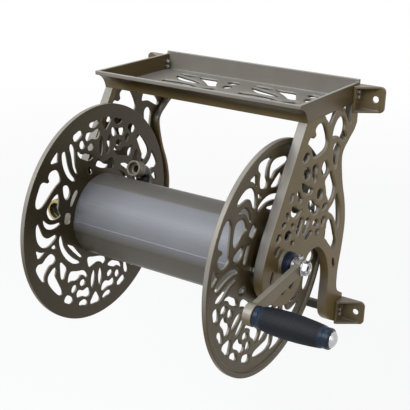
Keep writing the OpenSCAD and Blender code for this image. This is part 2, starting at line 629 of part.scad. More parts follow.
module fretwork() {
    for (half = [0, 1]) rotate(half * 180) {
        for (p = FLANGE_SCROLLS) flange_loop(p);
        for (p = LENS_PAIR) {
            flange_loop(p);
            mirror([0, 1]) flange_loop(p);
        }
    }
}
hub_r = axle_r + 6;
hub_face = bush_in - seat_gap;
function tie_angles() = [0, 90, 180, 270];
module flange() {
    difference() {
        union() {
            upright(flange_in, flange_web_t) translate([axle_y, axle_z]) difference() {
                circle(flange_r, $fn = 128);
                children();
            }
            at_axle(flange_in) difference() {
                cylinder(r = flange_r, h = rim_t, $fn = 128);
                translate([0, 0, -1]) cylinder(r = flange_r - lip_w, h = rim_t + 2, $fn = 128);
            }
            at_axle(flange_in) cylinder(r = hub_r, h = hub_face - flange_in);
        }
        at_axle(flange_in - 1)
            cylinder(r = axle_r + slip_fit, h = hub_face - flange_in + 2);
        for (a = tie_angles())
            at_axle(flange_in - 1) rotate(a) translate([tie_rod_r, 0, 0])
                cylinder(d = tie_rod_d + 2 * slip_fit, h = flange_web_t + 2);
    }
}
// How far each flange's pattern is turned on the axle, with the crank at rest
left_turn = 263.5;
right_turn = 39.5;
module right_flange() {
    color("#5a4f3f") flange() rotate(right_turn) mirror([0, 1]) fretwork();
}
module left_flange() {
    color("#4c4337") mirrored() flange() rotate(left_turn) fretwork();
}

// The drum: a rolled shell whose edges lap along one line
lap_angle = 189;
lap_width_deg = 14.5;
lap_t = 1;
outlet_angle = 46;
module drum_shell() {
    color("#79777a") difference() {
        translate([-flange_in, axle_y, axle_z]) rotate([0, 90, 0]) rotate([0, 0, 90]) {
            difference() {
                cylinder(r = drum_r, h = hose_width, $fn = 96);
                translate([0, 0, -1])
                    cylinder(r = drum_r - drum_wall, h = hose_width + 2, $fn = 96);
            }
            rotate([0, 0, lap_angle - lap_width_deg]) rotate_extrude(angle = lap_width_deg, $fn = 96)
                translate([drum_r - drum_wall / 2, 0]) square([lap_t + drum_wall / 2, hose_width]);
        }
        at_outlet() cylinder(r = pipe_r + slip_fit, h = 2 * drum_r);
    }
}
// Turns Z to point out of the drum at the outlet, with X then along the way the drum
// winds, towards the front
module at_outlet() {
    translate([-outlet_x, axle_y, axle_z]) rotate([outlet_angle - 90, 0, 0])
        rotate([0, 0, -90]) children();
}

// Hollow axle: a stepped tube whose left end feeds the water and whose right end
// carries the crank
feed_bore = 6;
spigot_r = axle_r - 1.5;
crank_seat_r = axle_r - 3;
spigot_end = bush_face + elbow_out - 3;
module axle_tube() {
    color("#a9a9a6") difference() {
        union() {
            at_axle(-bush_face) cylinder(r = axle_r, h = bush_face + crank_in);
            at_axle(-spigot_end) cylinder(r = spigot_r, h = spigot_end);
            at_axle(0) cylinder(r = crank_seat_r, h = axle_end);
        }
        at_axle(-spigot_end - 1) cylinder(r = feed_bore, h = spigot_end + 1 - outlet_x + feed_bore);
        at_axle(axle_end - 12) cylinder(r = 4, h = 13);
        at_outlet() cylinder(r = feed_bore - 1, h = axle_r + 1);
    }
}

rod_end = flange_in + flange_web_t + 5;
tie_nut_t = 4.6;
module tie_rods() {
    color("#9c9c99") for (a = tie_angles())
        at_axle(-rod_end) rotate(a) translate([tie_rod_r, 0, 0])
            cylinder(d = tie_rod_d, h = 2 * rod_end);
}
module tie_rod_nuts() {
    color("#8f8f8c") both_sides() for (a = tie_angles())
        at_axle(flange_in + flange_web_t) rotate(a) translate([tie_rod_r, 0, 0]) difference() {
            cylinder(d = 1.85 * tie_rod_d, h = tie_nut_t, $fn = 6);
            translate([0, 0, -1]) cylinder(d = tie_rod_d + 2 * slip_fit, h = tie_nut_t + 2);
        }
}

// Outlet: a pipe from the axle, a gasket in the drum and a bent tail with a hose thread
pipe_r = 8.5;
pipe_bore = 6;
bend_r = 11.5;
neck_in = drum_r - 3;
bend_start = drum_r + 4.6;
bend_deg = 113;
tail_len = 28;
thread_len = 14;
module feed_pipe() {
    color("#8d8a84") at_outlet() difference() {
        translate([0, 0, axle_r - 3]) cylinder(r = pipe_r - 1, h = neck_in - axle_r + 3);
        translate([0, 0, axle_r - 4]) cylinder(r = pipe_bore - 1, h = drum_r);
        at_outlet_axle() cylinder(r = axle_r + slip_fit, h = 4 * axle_r, center = true);
    }
}
module at_outlet_axle() {
    rotate([90, 0, 0]) children();
}
module outlet_gasket() {
    color("#2b2b2d") at_outlet() difference() {
        translate([0, 0, drum_r - 2]) cylinder(r = pipe_r + 5, h = 4);
        translate([0, 0, drum_r - 6]) cylinder(r = pipe_r + slip_fit, h = 12);
        at_outlet_axle() cylinder(r = drum_r + seat_gap / 3, h = 60, center = true, $fn = 96);
    }
}
module outlet_nipple() {
    color("#8f867a") at_outlet() difference() {
        translate([0, 0, neck_in]) cylinder(r = pipe_r, h = bend_start - neck_in - slip_fit);
        cylinder(r = pipe_bore - 1, h = 2 * drum_r);
    }
}
module outlet_elbow() {
    color("#8f867a") at_outlet() translate([0, 0, bend_start]) {
        translate([bend_r, 0, 0]) rotate([90, 0, 0]) rotate([0, 0, 180 - bend_deg])
            rotate_extrude(angle = bend_deg, $fn = 96) translate([bend_r, 0]) difference() {
                circle(pipe_r);
                circle(pipe_bore - 1);
            }
        translate([bend_r, 0, 0]) rotate([0, bend_deg, 0]) translate([-bend_r, 0, 0])
            difference() {
                union() {
                    cylinder(r = pipe_r, h = tail_len);
                    translate([0, 0, tail_len - thread_len])
                        cylinder(d = outlet_d, h = thread_len);
                    translate([0, 0, tail_len - thread_len - 4])
                        cylinder(d = outlet_d - 2, h = 3);
                }
                translate([0, 0, -1]) cylinder(r = pipe_bore - 1, h = tail_len + 2);
                translate([0, 0, tail_len - 10]) cylinder(r = outlet_d / 2 - 3.2, h = 11);
            }
    }
}

// Crank
module crank_washers() {
    color("#c4c4c2") for (i = [0, 1])
        at_axle(bush_face + slip_fit + i * washer_step) difference() {
            cylinder(d = crank_hub_d - 1, h = washer_t);
            translate([0, 0, -1]) cylinder(r = axle_r + slip_fit, h = washer_t + 2);
        }
}
eye_t = crank_t + 4;
eye_r = crank_eye_d / 2;
arm_gap = 0.8;
// Places things along the arm: X out from the axle, Y across it, Z along the axle
module on_crank(x0) {
    translate([x0, axle_y, axle_z]) rotate([180 + crank_droop, 0, 0]) rotate([90, 0, 90])
        children();
}
module crank_arm() {
    hub_w = 0.62 * crank_hub_d;
    eye_w = 0.72 * crank_eye_d;
    color("#857b6b") on_crank(crank_in) difference() {
        union() {
            cylinder(d = crank_hub_d, h = crank_hub_t);
            translate([0, 0, arm_gap]) linear_extrude(crank_t)
                polygon([[0, -hub_w / 2], [crank_r, -eye_w / 2], [crank_r, eye_w / 2],
                         [0, hub_w / 2]]);
            translate([crank_r, 0, arm_gap]) cylinder(r = eye_r, h = eye_t);
        }
        translate([0, 0, -1]) cylinder(r = crank_seat_r + run_fit, h = crank_hub_t + 2);
        translate([crank_r, 0, -1]) cylinder(d = spindle_d + run_fit, h = eye_t + 4);
        rotate([90, 0, 0]) translate([0, crank_hub_t / 2, 0])
            cylinder(d = set_screw_d + slip_fit, h = crank_hub_d);
    }
}
set_screw_d = 5;
module crank_set_screw() {
    color("#c4c4c2") on_crank(crank_in) rotate([90, 0, 0]) translate([0, crank_hub_t / 2, 0]) {
        translate([0, 0, crank_seat_r + slip_fit])
            cylinder(d = set_screw_d, h = crank_hub_d / 2 - crank_seat_r);
        translate([0, 0, crank_hub_d / 2 + slip_fit]) difference() {
            cylinder(d = 9, h = 4.5);
            translate([0, 0, 2]) cylinder(d = 4.6, h = 4, $fn = 6);
        }
    }
}
module crank_nut() {
    color("#cfcfcd") at_axle(crank_out) difference() {
        union() {
            cylinder(d = 23, h = 2);
            cylinder(d = 21, h = crank_nut_t, $fn = 6);
        }
        translate([0, 0, -1]) cylinder(r = crank_seat_r + slip_fit, h = crank_nut_t + 2);
    }
}
eye_in = crank_in + arm_gap;
eye_out = eye_in + eye_t;
grip_in = eye_out + seat_gap;
grip_end = grip_in + grip_len;
cap_t = 6;
spindle_head_t = 3;
module grip_spindle() {
    color("#b4b4b1") on_crank(eye_in) translate([crank_r, 0, 0]) {
        translate([0, 0, -spindle_head_t]) cylinder(d = 1.6 * spindle_d, h = spindle_head_t);
        cylinder(d = spindle_d, h = grip_end + seat_gap + cap_t / 2 - eye_in);
    }
}
cap_r = 10.5;
cap_ball_r = 14.5;
module grip_cap_nut() {
    color("#c8c8c6") on_crank(grip_end + seat_gap) translate([crank_r, 0, 0])
        rotate_extrude() difference() {
            intersection() {
                translate([0, cap_t - cap_ball_r]) circle(cap_ball_r, $fn = 96);
                square([cap_r, cap_t]);
            }
            square([spindle_d / 2 + slip_fit, cap_t / 2 + slip_fit]);
        }
}
// Grip profile: a swelling sleeve with a collar at each end
GRIP_PROFILE = [
    [0, 0.74], [0.01, 0.8], [0.035, 0.8], [0.05, 0.74], [0.07, 0.78], [0.12, 0.88],
    [0.25, 0.97], [0.42, 1], [0.6, 0.97], [0.78, 0.89], [0.9, 0.81], [0.935, 0.74],
    [0.955, 0.76], [0.985, 0.76], [1, 0.7]
];
module grip_sleeve() {
    color("#1d222b") on_crank(grip_in) translate([crank_r, 0, 0]) rotate_extrude() polygon(
        concat([[spindle_d / 2 + run_fit, 0]],
               [for (p = GRIP_PROFILE) [p[1] * grip_d / 2, p[0] * grip_len]],
               [[spindle_d / 2 + run_fit, grip_len]])
    );
}

// Inlet: a brass elbow that swivels on the axle's spigot, with a swivel nut on its tail
elbow_x = bush_face + elbow_out;
elbow_r = elbow_d / 2;
tail_r = 9.5;
tail_lip_r = 12.6;
tail_lip_at = 24;
tail_end = 27;
seal_r = 1.6;
module at_elbow() {
    translate([-elbow_x, axle_y, axle_z]) rotate([90, 0, 0]) children();
}
module inlet_elbow() {
    color("#b08d4a") difference() {
        union() {
            at_axle(-elbow_x) cylinder(r = elbow_r, h = elbow_out - seat_gap);
            translate([-elbow_x, axle_y, axle_z]) sphere(elbow_r);
            at_elbow() cylinder(r = elbow_r, h = elbow_r + 1.5);
            at_elbow() cylinder(r = tail_r, h = tail_end);
            at_elbow() translate([0, 0, tail_lip_at])
                cylinder(r = tail_lip_r, h = tail_end - tail_lip_at);
        }
        at_axle(-spigot_end - seat_gap) cylinder(r = spigot_r + run_fit, h = elbow_out + 2);
        at_axle(-elbow_x) cylinder(r = feed_bore, h = elbow_out);
        at_elbow() cylinder(r = feed_bore, h = tail_end + 1);
        at_axle(-bush_face - 6 - seal_r) cylinder(r = spigot_r + 2 * seal_r, h = 2 * seal_r);
    }
}
module inlet_seal() {
    color("#1b1b1c") at_axle(-bush_face - 6) rotate_extrude()
        translate([spigot_r + seal_r + run_fit, 0]) circle(seal_r - run_fit, $fn = 32);
}
nut_in = 20;
nut_lip_t = 3.7;
washer_len = 2.5;
thread_in = tail_end + washer_len + slip_fit;
nut_end = thread_in + 8;
module inlet_nut() {
    color("#a98748") at_elbow() difference() {
        union() {
            translate([0, 0, nut_in]) cylinder(d = inlet_nut_d, h = nut_end - nut_in);
            for (a = [0 : 20 : 340]) rotate(a)
                translate([inlet_nut_d / 2 - 0.6, -1.1, nut_in + 1])
                    cube([1.6, 2.2, nut_end - nut_in - 2.5]);
        }
        translate([0, 0, nut_in - 1]) cylinder(r = tail_r + seat_gap, h = nut_lip_t + 1.1);
        translate([0, 0, nut_in + nut_lip_t])
            cylinder(r = tail_lip_r + seat_gap, h = nut_end - nut_in);
        translate([0, 0, thread_in]) cylinder(d = hose_thread_d, h = nut_end - nut_in);
    }
}
module inlet_washer() {
    color("#2a2a2c") at_elbow() translate([0, 0, tail_end]) difference() {
        cylinder(r = tail_lip_r, h = washer_len);
        translate([0, 0, -1]) cylinder(r = feed_bore + 1, h = washer_len + 2);
    }
}

left_side_frame();
right_side_frame();
left_scroll_panel();
right_scroll_panel();
top_tray();
tray_grille();
upper_left_bracket();
upper_right_bracket();
lower_left_bracket();
lower_right_bracket();
lower_rail();
tray_end_screws();
tray_end_nuts();
foot_screws();
foot_nuts();
tray_floor_screws();
left_bush();
right_bush();
left_flange();
right_flange();
drum_shell();
axle_tube();
tie_rods();
tie_rod_nuts();
feed_pipe();
outlet_gasket();
outlet_nipple();
outlet_elbow();
crank_washers();
crank_arm();
crank_nut();
crank_set_screw();
grip_spindle();
grip_cap_nut();
grip_sleeve();
inlet_elbow();
inlet_seal();
inlet_nut();
inlet_washer();
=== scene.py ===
# %% [markdown]
# A cast garden hose reel for a wall
#
# The reel is a steel drum between two fretted flanges. It hangs in two cast side frames with
# a shelf tray on top. A hand crank turns it, and water comes in through a brass elbow on the
# left. The exact solids were made beforehand and arrive as a fixed frame: every solid is
# already in its place, in metres. This script gives them rounded edges, threads, knurling
# and finishes, and never moves them.

# %% Load the frame
import json
import math

import bmesh
import bpy
import numpy as np
from mathutils import Matrix, Vector
from mathutils.bvhtree import BVHTree
from mathutils.geometry import delaunay_2d_cdt


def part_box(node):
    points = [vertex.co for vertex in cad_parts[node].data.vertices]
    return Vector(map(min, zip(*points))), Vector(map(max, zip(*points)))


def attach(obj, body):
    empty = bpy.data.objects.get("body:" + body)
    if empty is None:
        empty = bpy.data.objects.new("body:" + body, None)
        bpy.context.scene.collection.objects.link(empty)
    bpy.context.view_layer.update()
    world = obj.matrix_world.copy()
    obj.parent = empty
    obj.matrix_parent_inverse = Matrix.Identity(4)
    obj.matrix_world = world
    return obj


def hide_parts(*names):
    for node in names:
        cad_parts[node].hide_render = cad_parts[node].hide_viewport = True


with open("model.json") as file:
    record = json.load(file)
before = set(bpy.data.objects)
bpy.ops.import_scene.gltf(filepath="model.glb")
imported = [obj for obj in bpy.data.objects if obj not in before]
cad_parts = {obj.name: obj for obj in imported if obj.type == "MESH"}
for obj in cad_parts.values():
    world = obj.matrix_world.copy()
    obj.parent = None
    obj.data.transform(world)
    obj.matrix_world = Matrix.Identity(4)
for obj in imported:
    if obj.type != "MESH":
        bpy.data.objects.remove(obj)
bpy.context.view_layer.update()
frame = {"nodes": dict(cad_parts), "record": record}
nodes = frame["nodes"]
MM = 0.001
TURN = 2 * math.pi
print("pieces in the frame:", len(nodes))

# %% [markdown]
# Places that everything shares
#
# The axle runs along X. Angles round the axle are counted from the wall (+Y) over the top,
# so 90 degrees is straight up and 180 degrees points away from the wall. Most places are
# read from the frame's own boxes instead of being typed again, so that they follow the
# solids.

# %% Axle and crank
bush_low, bush_high = np.array(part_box("right_bush"))
AXLE = (bush_low + bush_high) / 2 * (0, 1, 1)
grip_low, grip_high = np.array(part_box("grip_sleeve"))
GRIP = (grip_low + grip_high) / 2 * (0, 1, 1)


def round_axle(angle, radius, x):
    """The point at this angle (radians, from the wall over the top) and radius round the
    axle, at x along it: (x, axle_y + r cos a, axle_z + r sin a)."""
    angle, radius, x = np.broadcast_arrays(angle, radius, x)
    return np.stack(
        (x, AXLE[1] + radius * np.cos(angle), AXLE[2] + radius * np.sin(angle)), axis=-1
    )


print("axle at", AXLE.round(4), "grip at", GRIP.round(4))

# %% [markdown]
# Shader maths in plain Python
#
# A finish is a small program: noise in, colour and roughness out. Wiring it by hand hides
# the maths. Here one class wraps an output socket and overloads Python's operators, so
# `1 - mask * 0.3` adds the Math nodes by itself. Every other node comes from one method.
# The two classes know nothing of materials, so they can wire the world's light too.

# %% Wires and node trees
class Wire:
    """One value inside a node tree. Arithmetic on it adds Math nodes to the tree."""

    def __init__(self, wiring, socket):
        self.wiring, self.socket = wiring, socket

    def maths(self, operation, *values):
        return self.wiring.maths_of(operation, *values)

    def __add__(self, other):
        return self.maths("ADD", self, other)

    def __sub__(self, other):
        return self.maths("SUBTRACT", self, other)

    def __rsub__(self, other):
        return self.maths("SUBTRACT", other, self)

    def __mul__(self, other):
        return self.maths("MULTIPLY", self, other)

    def __truediv__(self, other):
        return self.maths("DIVIDE", self, other)

    def __rtruediv__(self, other):
        return self.maths("DIVIDE", other, self)

    def above(self, edge, width):
        """0 below edge, 1 above it, with a smooth step of this width."""
        return self.wiring.node(
            "ShaderNodeMapRange", {"interpolation_type": "SMOOTHSTEP"},
            self, edge - width / 2, edge + width / 2,
        )

    __radd__, __rmul__ = __add__, __mul__


class Wiring:
    """A node tree that grows step by step."""

    def __init__(self, tree):
        self.tree = tree

    def node(self, kind, settings, *values, out=0, **named):
        """Adds a node, sets its settings, then links or sets its inputs in order or by
        name, and gives the output called out."""
        made = self.tree.nodes.new(kind)
        for key, value in settings.items():
            setattr(made, key, value)
        for key, value in [*enumerate(values), *named.items()]:
            socket = made.inputs[key.replace("_", " ") if isinstance(key, str) else key]
            if isinstance(value, Wire):
                self.tree.links.new(value.socket, socket)
            else:
                socket.default_value = value
        return Wire(self, made.outputs[out])

    def maths_of(self, operation, *values):
        return self.node("ShaderNodeMath", {"operation": operation}, *values)

    def looked_at(self):
        """1 for what the camera sees, directly or in metal or glass, and 0 for the light
        that falls on things."""
        rays = [self.node("ShaderNodeLightPath", {}, out=f"Is {kind} Ray")
                for kind in ("Camera", "Glossy", "Transmission")]
        return rays[0] + rays[1] + rays[2]


print("a wire adds, subtracts, multiplies and divides")


# %% Finishes
class Finish(Wiring):
    """A material with one Principled surface."""

    def __init__(self, name, **constants):
        self.material = bpy.data.materials.new(name)
        self.material.use_nodes = True
        super().__init__(self.material.node_tree)
        self.surface = self.tree.nodes["Principled BSDF"]
        for socket, value in constants.items():
            self.surface.inputs[socket.replace("_", " ")].default_value = value
        self.place = self.node("ShaderNodeTexCoord", {}, out="Object")

    def noise(self, scale, detail=2.0, stretch=(1, 1, 1)):
        """Cloudy noise from 0 to 1, with about `scale` clouds to the metre."""
        where = self.node("ShaderNodeMapping", {}, Vector=self.place, Scale=stretch)
        return self.node("ShaderNodeTexNoise", {}, Vector=where, Scale=scale, Detail=detail)

    def blend(self, amount, first, second):
        """The colour first where amount is 0 and second where it is 1."""
        made = self.tree.nodes.new("ShaderNodeMix")
        made.data_type = "RGBA"
        for key, value in ((0, amount), (6, first), (7, second)):
            if isinstance(value, Wire):
                self.tree.links.new(value.socket, made.inputs[key])
            else:
                made.inputs[key].default_value = value if key == 0 else (*value, 1)
        return Wire(self, made.outputs[2])

    def bump(self, height, depth, over=None):
        """Normals of a surface raised by height (0 to 1) times depth metres."""
        named = {"Normal": over} if over else {}
        return self.node("ShaderNodeBump", {}, Height=height, Distance=depth, **named)

    def set(self, **wires):
        for socket, wire in wires.items():
            self.tree.links.new(wire.socket, self.surface.inputs[socket.replace("_", " ")])
        return self.material


print("a finish has", len(Finish("trial").surface.inputs), "sockets to set")
bpy.data.materials.remove(bpy.data.materials["trial"])

# %% [markdown]
# Powder coat over cast iron
#
# The castings wear a bronze powder coat. Up close it has three scales: slow patches where
# the coat is thicker, the grain of the sand mould, and the fine orange peel of baked
# powder. Light and shade are painted into it too: faces turned up and to the front take a
# paler painted sheen, undersides take painted shade, and the low places between the scrolls
# are darkened with painted shade. One function makes the whole family, so that the castings
# look painted in one batch and still differ a little; the flanges' coat is darker again, as painted
# shade.

# %% Powder coat
def powder_coat(name, dark, light, painted_sheen=None, rough=0.40, low=None, sheen_from=0.68,
                shade_from=-0.25):
    """Bronze powder coat: colour between dark and light by slow noise, roughness that
    follows it, and a bump of mould grain and orange peel. Where the surface faces up and
    forward, a painted sheen blends it towards the given sheen colour, and where it faces down
    and back, painted shade darkens it. Where it lies below a face, painted shade darkens it
    too: low gives the axis and the two places along it, at the face and at full depth."""
    coat = Finish(name, Coat_Roughness=0.25, Specular_IOR_Level=0.32,
                  Specular_Tint=(1, 0.86, 0.64, 1))
    patches = coat.noise(16, 5)
    sand = coat.noise(520, 3)
    peel = coat.noise(2600, 1)
    colour = coat.blend((patches * 0.75 + sand * 0.5 - 0.12), dark, light)
    # Painted shade: where the surface lies below the face, in the hollows between the strands, the
    # colour darkens.
    if low:
        axis, at_face, at_depth = low
        place = coat.node("ShaderNodeSeparateXYZ", {}, coat.place, out=axis)
        sunk = (float(at_face) - coat.maths_of("ABSOLUTE", place)) / float(at_face - at_depth)
        colour = coat.blend(sunk.above(0.5, 1.0) * 0.8, colour, tuple(0.22 * c for c in dark))
    # Painted sheen: faces turned up and to the front blend towards the paler sheen colour, as if lit
    # from there.
    if painted_sheen:
        facing = coat.node("ShaderNodeTexCoord", {}, out="Normal")
        facing_light = coat.node("ShaderNodeVectorMath", {"operation": "DOT_PRODUCT"},
                            facing, (0, -0.6, 0.8), out="Value")
        sheen_share = facing_light.above(sheen_from, 0.45) * (patches * 0.5 + 0.65)
        colour = coat.blend(sheen_share, colour, painted_sheen)
        # Painted shade: faces turned down and back darken.
        shade_under = 1.0 - facing_light.above(shade_from, 0.5)
        colour = coat.blend(shade_under * 0.65, colour, tuple(0.3 * c for c in dark))
    under = coat.bump(sand, 0.22 * MM)
    return coat.set(
        Base_Color=colour,
        Roughness=patches * 0.12 + sand * 0.1 + (rough - 0.1),
        Metallic=patches * 0.1 + 0.09,
        Coat_Weight=patches * 0.16 + 0.02,
        Normal=coat.bump(peel, 0.05 * MM, under),
    )


print("one function makes every powder coat")

# %% The castings' coats
FLANGE_WEB = 4 * MM
# The third colour given to a coat is its painted sheen, the paler tone of faces turned up and to the
# front; the lower rail's coat has none.
FRAME_TONES = (0.119, 0.079, 0.023), (0.207, 0.147, 0.055), (0.265, 0.254, 0.238)
# The faces below which painted shade darkens the scroll panels, the flange webs and the tray's floor.
panel_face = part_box("right_scroll_panel")[1][0]
web_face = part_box("right_flange")[0][0] + FLANGE_WEB
shelf_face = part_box("tray_grille")[1][2]
frame_coat = powder_coat("frame_coat", *FRAME_TONES, sheen_from=0.60)
bracket_coat = powder_coat("bracket_coat", (0.101, 0.074, 0.034), (0.180, 0.140, 0.076),
                           (0.265, 0.254, 0.238), sheen_from=0.80)
scroll_coat = powder_coat("scroll_coat", *FRAME_TONES[:2], (0.390, 0.366, 0.324), sheen_from=0.30,
                          shade_from=-0.20, low=("X", panel_face, panel_face - 3.2 * MM))
# Painted shade: the flanges' coat is much darker than the frames' coat, for the shade the flanges sit
# in between the frames.
shaded_flange_coat = powder_coat("shaded_flange_coat", (0.048, 0.034, 0.014), (0.095, 0.072, 0.033),
                          (0.255, 0.240, 0.213), 0.34, ("X", web_face, web_face - 8 * MM),
                          sheen_from=0.52, shade_from=-0.20)
tray_coat = powder_coat("tray_coat", (0.087, 0.059, 0.020), (0.164, 0.118, 0.050),
                        (0.272, 0.270, 0.266), 0.34, sheen_from=0.56, shade_from=-0.05)
shelf_coat = powder_coat("shelf_coat", (0.087, 0.070, 0.043), (0.174, 0.144, 0.096),
                         (0.247, 0.237, 0.220), 0.30, ("Z", shelf_face, shelf_face - 3 * MM))
rail_coat = powder_coat("rail_coat", (0.017, 0.015, 0.014), (0.034, 0.029, 0.025), rough=0.5)
crank_coat = powder_coat("crank_coat", (0.112, 0.085, 0.048), (0.213, 0.169, 0.104),
                         (0.315, 0.291, 0.247), 0.32)
print("faces at", [round(face, 4) for face in (panel_face, web_face, shelf_face)])

# %% [markdown]
# Bare metals, nylon and rubber
#
# Rolled and drawn metal has fine lines along the way that it was worked, so its noise is
# stretched along one axis. Zinc plate is brighter and mottled. Brass darkens in patches.
# Nylon and rubber are dark, and differ by how wide their highlight is. Three pieces change
# colour from place to place: the drum (painted reflection on its front, painted shade
# underneath), the outlet (black bend, plated thread) and the grip (dull knurl, shinier
# ends). For those the place on the piece drives the blend.

# %% Worked metal and moulded pieces
LINE_DEPTH = 0.02 * MM


def worked_metal(name, dark, light, rough, scale, stretch=(1, 1, 1)):
    """Metal with lines along one axis: noise stretched by `stretch` drives colour,
    roughness and a slight bump."""
    piece = Finish(name)
    lines = piece.noise(scale, 4, stretch)
    spots = piece.noise(60, 3)
    return piece.set(
        Base_Color=piece.blend(lines * 0.5 + spots * 0.5, dark, light),
        Roughness=lines * 0.16 + spots * 0.12 + (rough - 0.12),
        Metallic=spots * 0.1 + 0.9,
        Normal=piece.bump(lines, LINE_DEPTH),
    )


def moulded(name, dark, light, rough):
    """Moulded nylon or rubber: near-black with a faint grain and uneven sheen."""
    piece = Finish(name, Specular_IOR_Level=0.2)
    grain = piece.noise(900, 3)
    haze = piece.noise(45, 2)
    return piece.set(
        Base_Color=piece.blend(haze, dark, light),
        Roughness=haze * 0.14 + grain * 0.08 + (rough - 0.1),
        Normal=piece.bump(grain, 0.06 * MM),
    )


zinc = worked_metal("zinc", (0.36, 0.37, 0.38), (0.60, 0.61, 0.62), 0.26, 220)
dull_zinc = worked_metal("dull_zinc", (0.20, 0.19, 0.17), (0.34, 0.32, 0.29), 0.45, 220)
axle_steel = worked_metal("axle_steel", (0.34, 0.34, 0.33), (0.56, 0.56, 0.55), 0.36,
                          400, (0.05, 1, 1))
brass = worked_metal("brass", (0.26, 0.20, 0.08), (0.56, 0.47, 0.25), 0.34, 150)
nylon = moulded("nylon", (0.007, 0.011, 0.022), (0.014, 0.022, 0.045), 0.34)
seal_rubber = moulded("seal_rubber", (0.010, 0.010, 0.010), (0.020, 0.020, 0.021), 0.6)
print("plain finishes:", zinc.name, dull_zinc.name, axle_steel.name, brass.name, nylon.name,
      seal_rubber.name)


# %% The drum's paint
GROOVES = (115.3, 146)


def drum_coat():
    """Brushed paint over rolled sheet, in lit and shaded copies by zone round the axle:
    past the first groove it is paler and bluer, a painted reflection of the lamps, and where
    the sheet turns under it is darker brown, painted shade. The angle about the axle counts
    from the wall over the top."""
    paint = Finish("drum_paint", Coat_Roughness=0.3, Coat_Weight=0.12)
    y, z = (paint.node("ShaderNodeSeparateXYZ", {}, paint.place, out=axis) for axis in "YZ")
    angle = paint.maths_of("ARCTAN2", z - float(AXLE[2]), y - float(AXLE[1])) * (360 / TURN)
    lines = paint.noise(300, 4, (0.06, 1, 1))
    cloud = paint.noise(14, 3)
    mix = lines * 0.5 + cloud * 0.5
    # Lit and shaded copies of one paint: front is the painted reflection of the lamps, below is
    # painted shade.
    top = paint.blend(mix, (0.114, 0.105, 0.091), (0.174, 0.162, 0.146))
    front = paint.blend(mix, (0.129, 0.131, 0.141), (0.201, 0.206, 0.220))
    below = paint.blend(mix, (0.075, 0.066, 0.051), (0.129, 0.115, 0.093))
    turned_on = angle + paint.maths_of("LESS_THAN", angle, 0.0) * 360
    colour = paint.blend(turned_on.above(GROOVES[0], 2), top, front)
    colour = paint.blend(turned_on.above(182, 16), colour, below)
    return paint.set(
        Base_Color=colour,
        Roughness=lines * 0.16 + cloud * 0.12 + 0.36,
        Metallic=cloud * 0.1 + 0.25,
        Normal=paint.bump(lines, LINE_DEPTH),
    )


drum_paint = drum_coat()
print("drum paint ready")


# %% The outlet's plating
OUT_DEG, BEND_DEG = 46, 113


def outlet_coat(along, start):
    """Bronze-plated thread, with the bend behind it near black and not metallic. Along is
    the unit vector of the thread's axis in the plane across the axle, start its first place."""
    plate = Finish("outlet_metal")
    y, z = (plate.node("ShaderNodeSeparateXYZ", {}, plate.place, out=axis) for axis in "YZ")
    reach = (y - float(AXLE[1])) * along[0] + (z - float(AXLE[2])) * along[1]
    spots, fine = plate.noise(60, 3), plate.noise(260, 4)
    on_thread = reach.above(start, 1.5 * MM)
    metal = plate.blend(spots * 0.5 + fine * 0.5, (0.13, 0.110, 0.080), (0.27, 0.245, 0.200))
    return plate.set(
        Base_Color=plate.blend(on_thread, (0.016, 0.015, 0.014), metal),
        Roughness=spots * 0.12 + fine * 0.16 + 0.28,
        Metallic=on_thread * 0.7,
        Normal=plate.bump(fine, LINE_DEPTH),
    )


thread_way = math.radians(OUT_DEG + BEND_DEG)
outlet_metal = outlet_coat((math.cos(thread_way), math.sin(thread_way)), -8 * MM)
print("outlet plating ready")


# %% The grip's rubber
def grip_finish():
    """Rubber: black and dull where it is knurled, navy with more sheen at its ends."""
    rubber = Finish("grip_rubber", Specular_IOR_Level=0.2)
    x = rubber.node("ShaderNodeSeparateXYZ", {}, rubber.place, out="X")
    share = (x - float(grip_low[0])) / float(grip_high[0] - grip_low[0])
    knurled = share.above(0.12, 0.06) * (1.0 - share.above(0.87, 0.06))
    haze, grain = rubber.noise(45, 2), rubber.noise(900, 3)
    ends = rubber.blend(haze, (0.008, 0.015, 0.028), (0.016, 0.030, 0.055))
    middle = rubber.blend(haze, (0.003, 0.004, 0.006), (0.007, 0.009, 0.014))
    return rubber.set(
        Base_Color=rubber.blend(knurled, ends, middle),
        Roughness=knurled * 0.14 + haze * 0.1 + grain * 0.06 + 0.2,
        Normal=rubber.bump(grain, 0.05 * MM),
    )


grip_rubber = grip_finish()
print("materials so far:", len(bpy.data.materials))

# %% [markdown]
# Rounding the castings
#
# A solid model has knife edges, and a sand casting has none: each edge carries a radius
# that catches a thin line of light. The node's own mesh must not change, so a copy is
# welded, its flat triangles are joined and a Bevel modifier rounds the marked edges.
# Two nodes of one casting meet on a flat face with no line, so edges that lie on the
# partner are left unmarked.

# %% New pieces
def in_scene(name, data):
    """A new object in the scene."""
    made = bpy.data.objects.new(name, data)
    bpy.context.scene.collection.objects.link(made)
    return made


def even_normals(piece):
    """Lets wide faces stay flat in the light and only the rounded ones turn."""
    even = piece.modifiers.new("even_normals", "WEIGHTED_NORMAL")
    even.keep_sharp, even.weight = True, 100


def body_of(node):
    """The moving body that a node belongs to."""
    bodies = frame["record"]["behaviour"]["bodies"]
    return next(body for body, members in bodies.items() if node in members)


def slot_of(node):
    """The record's material slot of a node."""
    return next(s["material_slot"] for s in frame["record"]["subparts"] if s["node"] == node)


def adopt(piece, material, *stood_for):
    """Gives a new piece its material and lets it ride in place of the nodes it stands for."""
    piece.data.materials.clear()
    piece.data.materials.append(material)
    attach(piece, body_of(stood_for[0]))
    slot_of(stood_for[0])
    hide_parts(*stood_for)
    return piece


# %% Rounded copies
WELD = 2e-6
EDGE_ANGLE = math.radians(30)


def surface_of(names):
    """A search tree over the solids of these nodes."""
    work = bmesh.new()
    for name in names:
        work.from_mesh(nodes[name].data)
    tree = BVHTree.FromBMesh(work)
    work.free()
    return tree


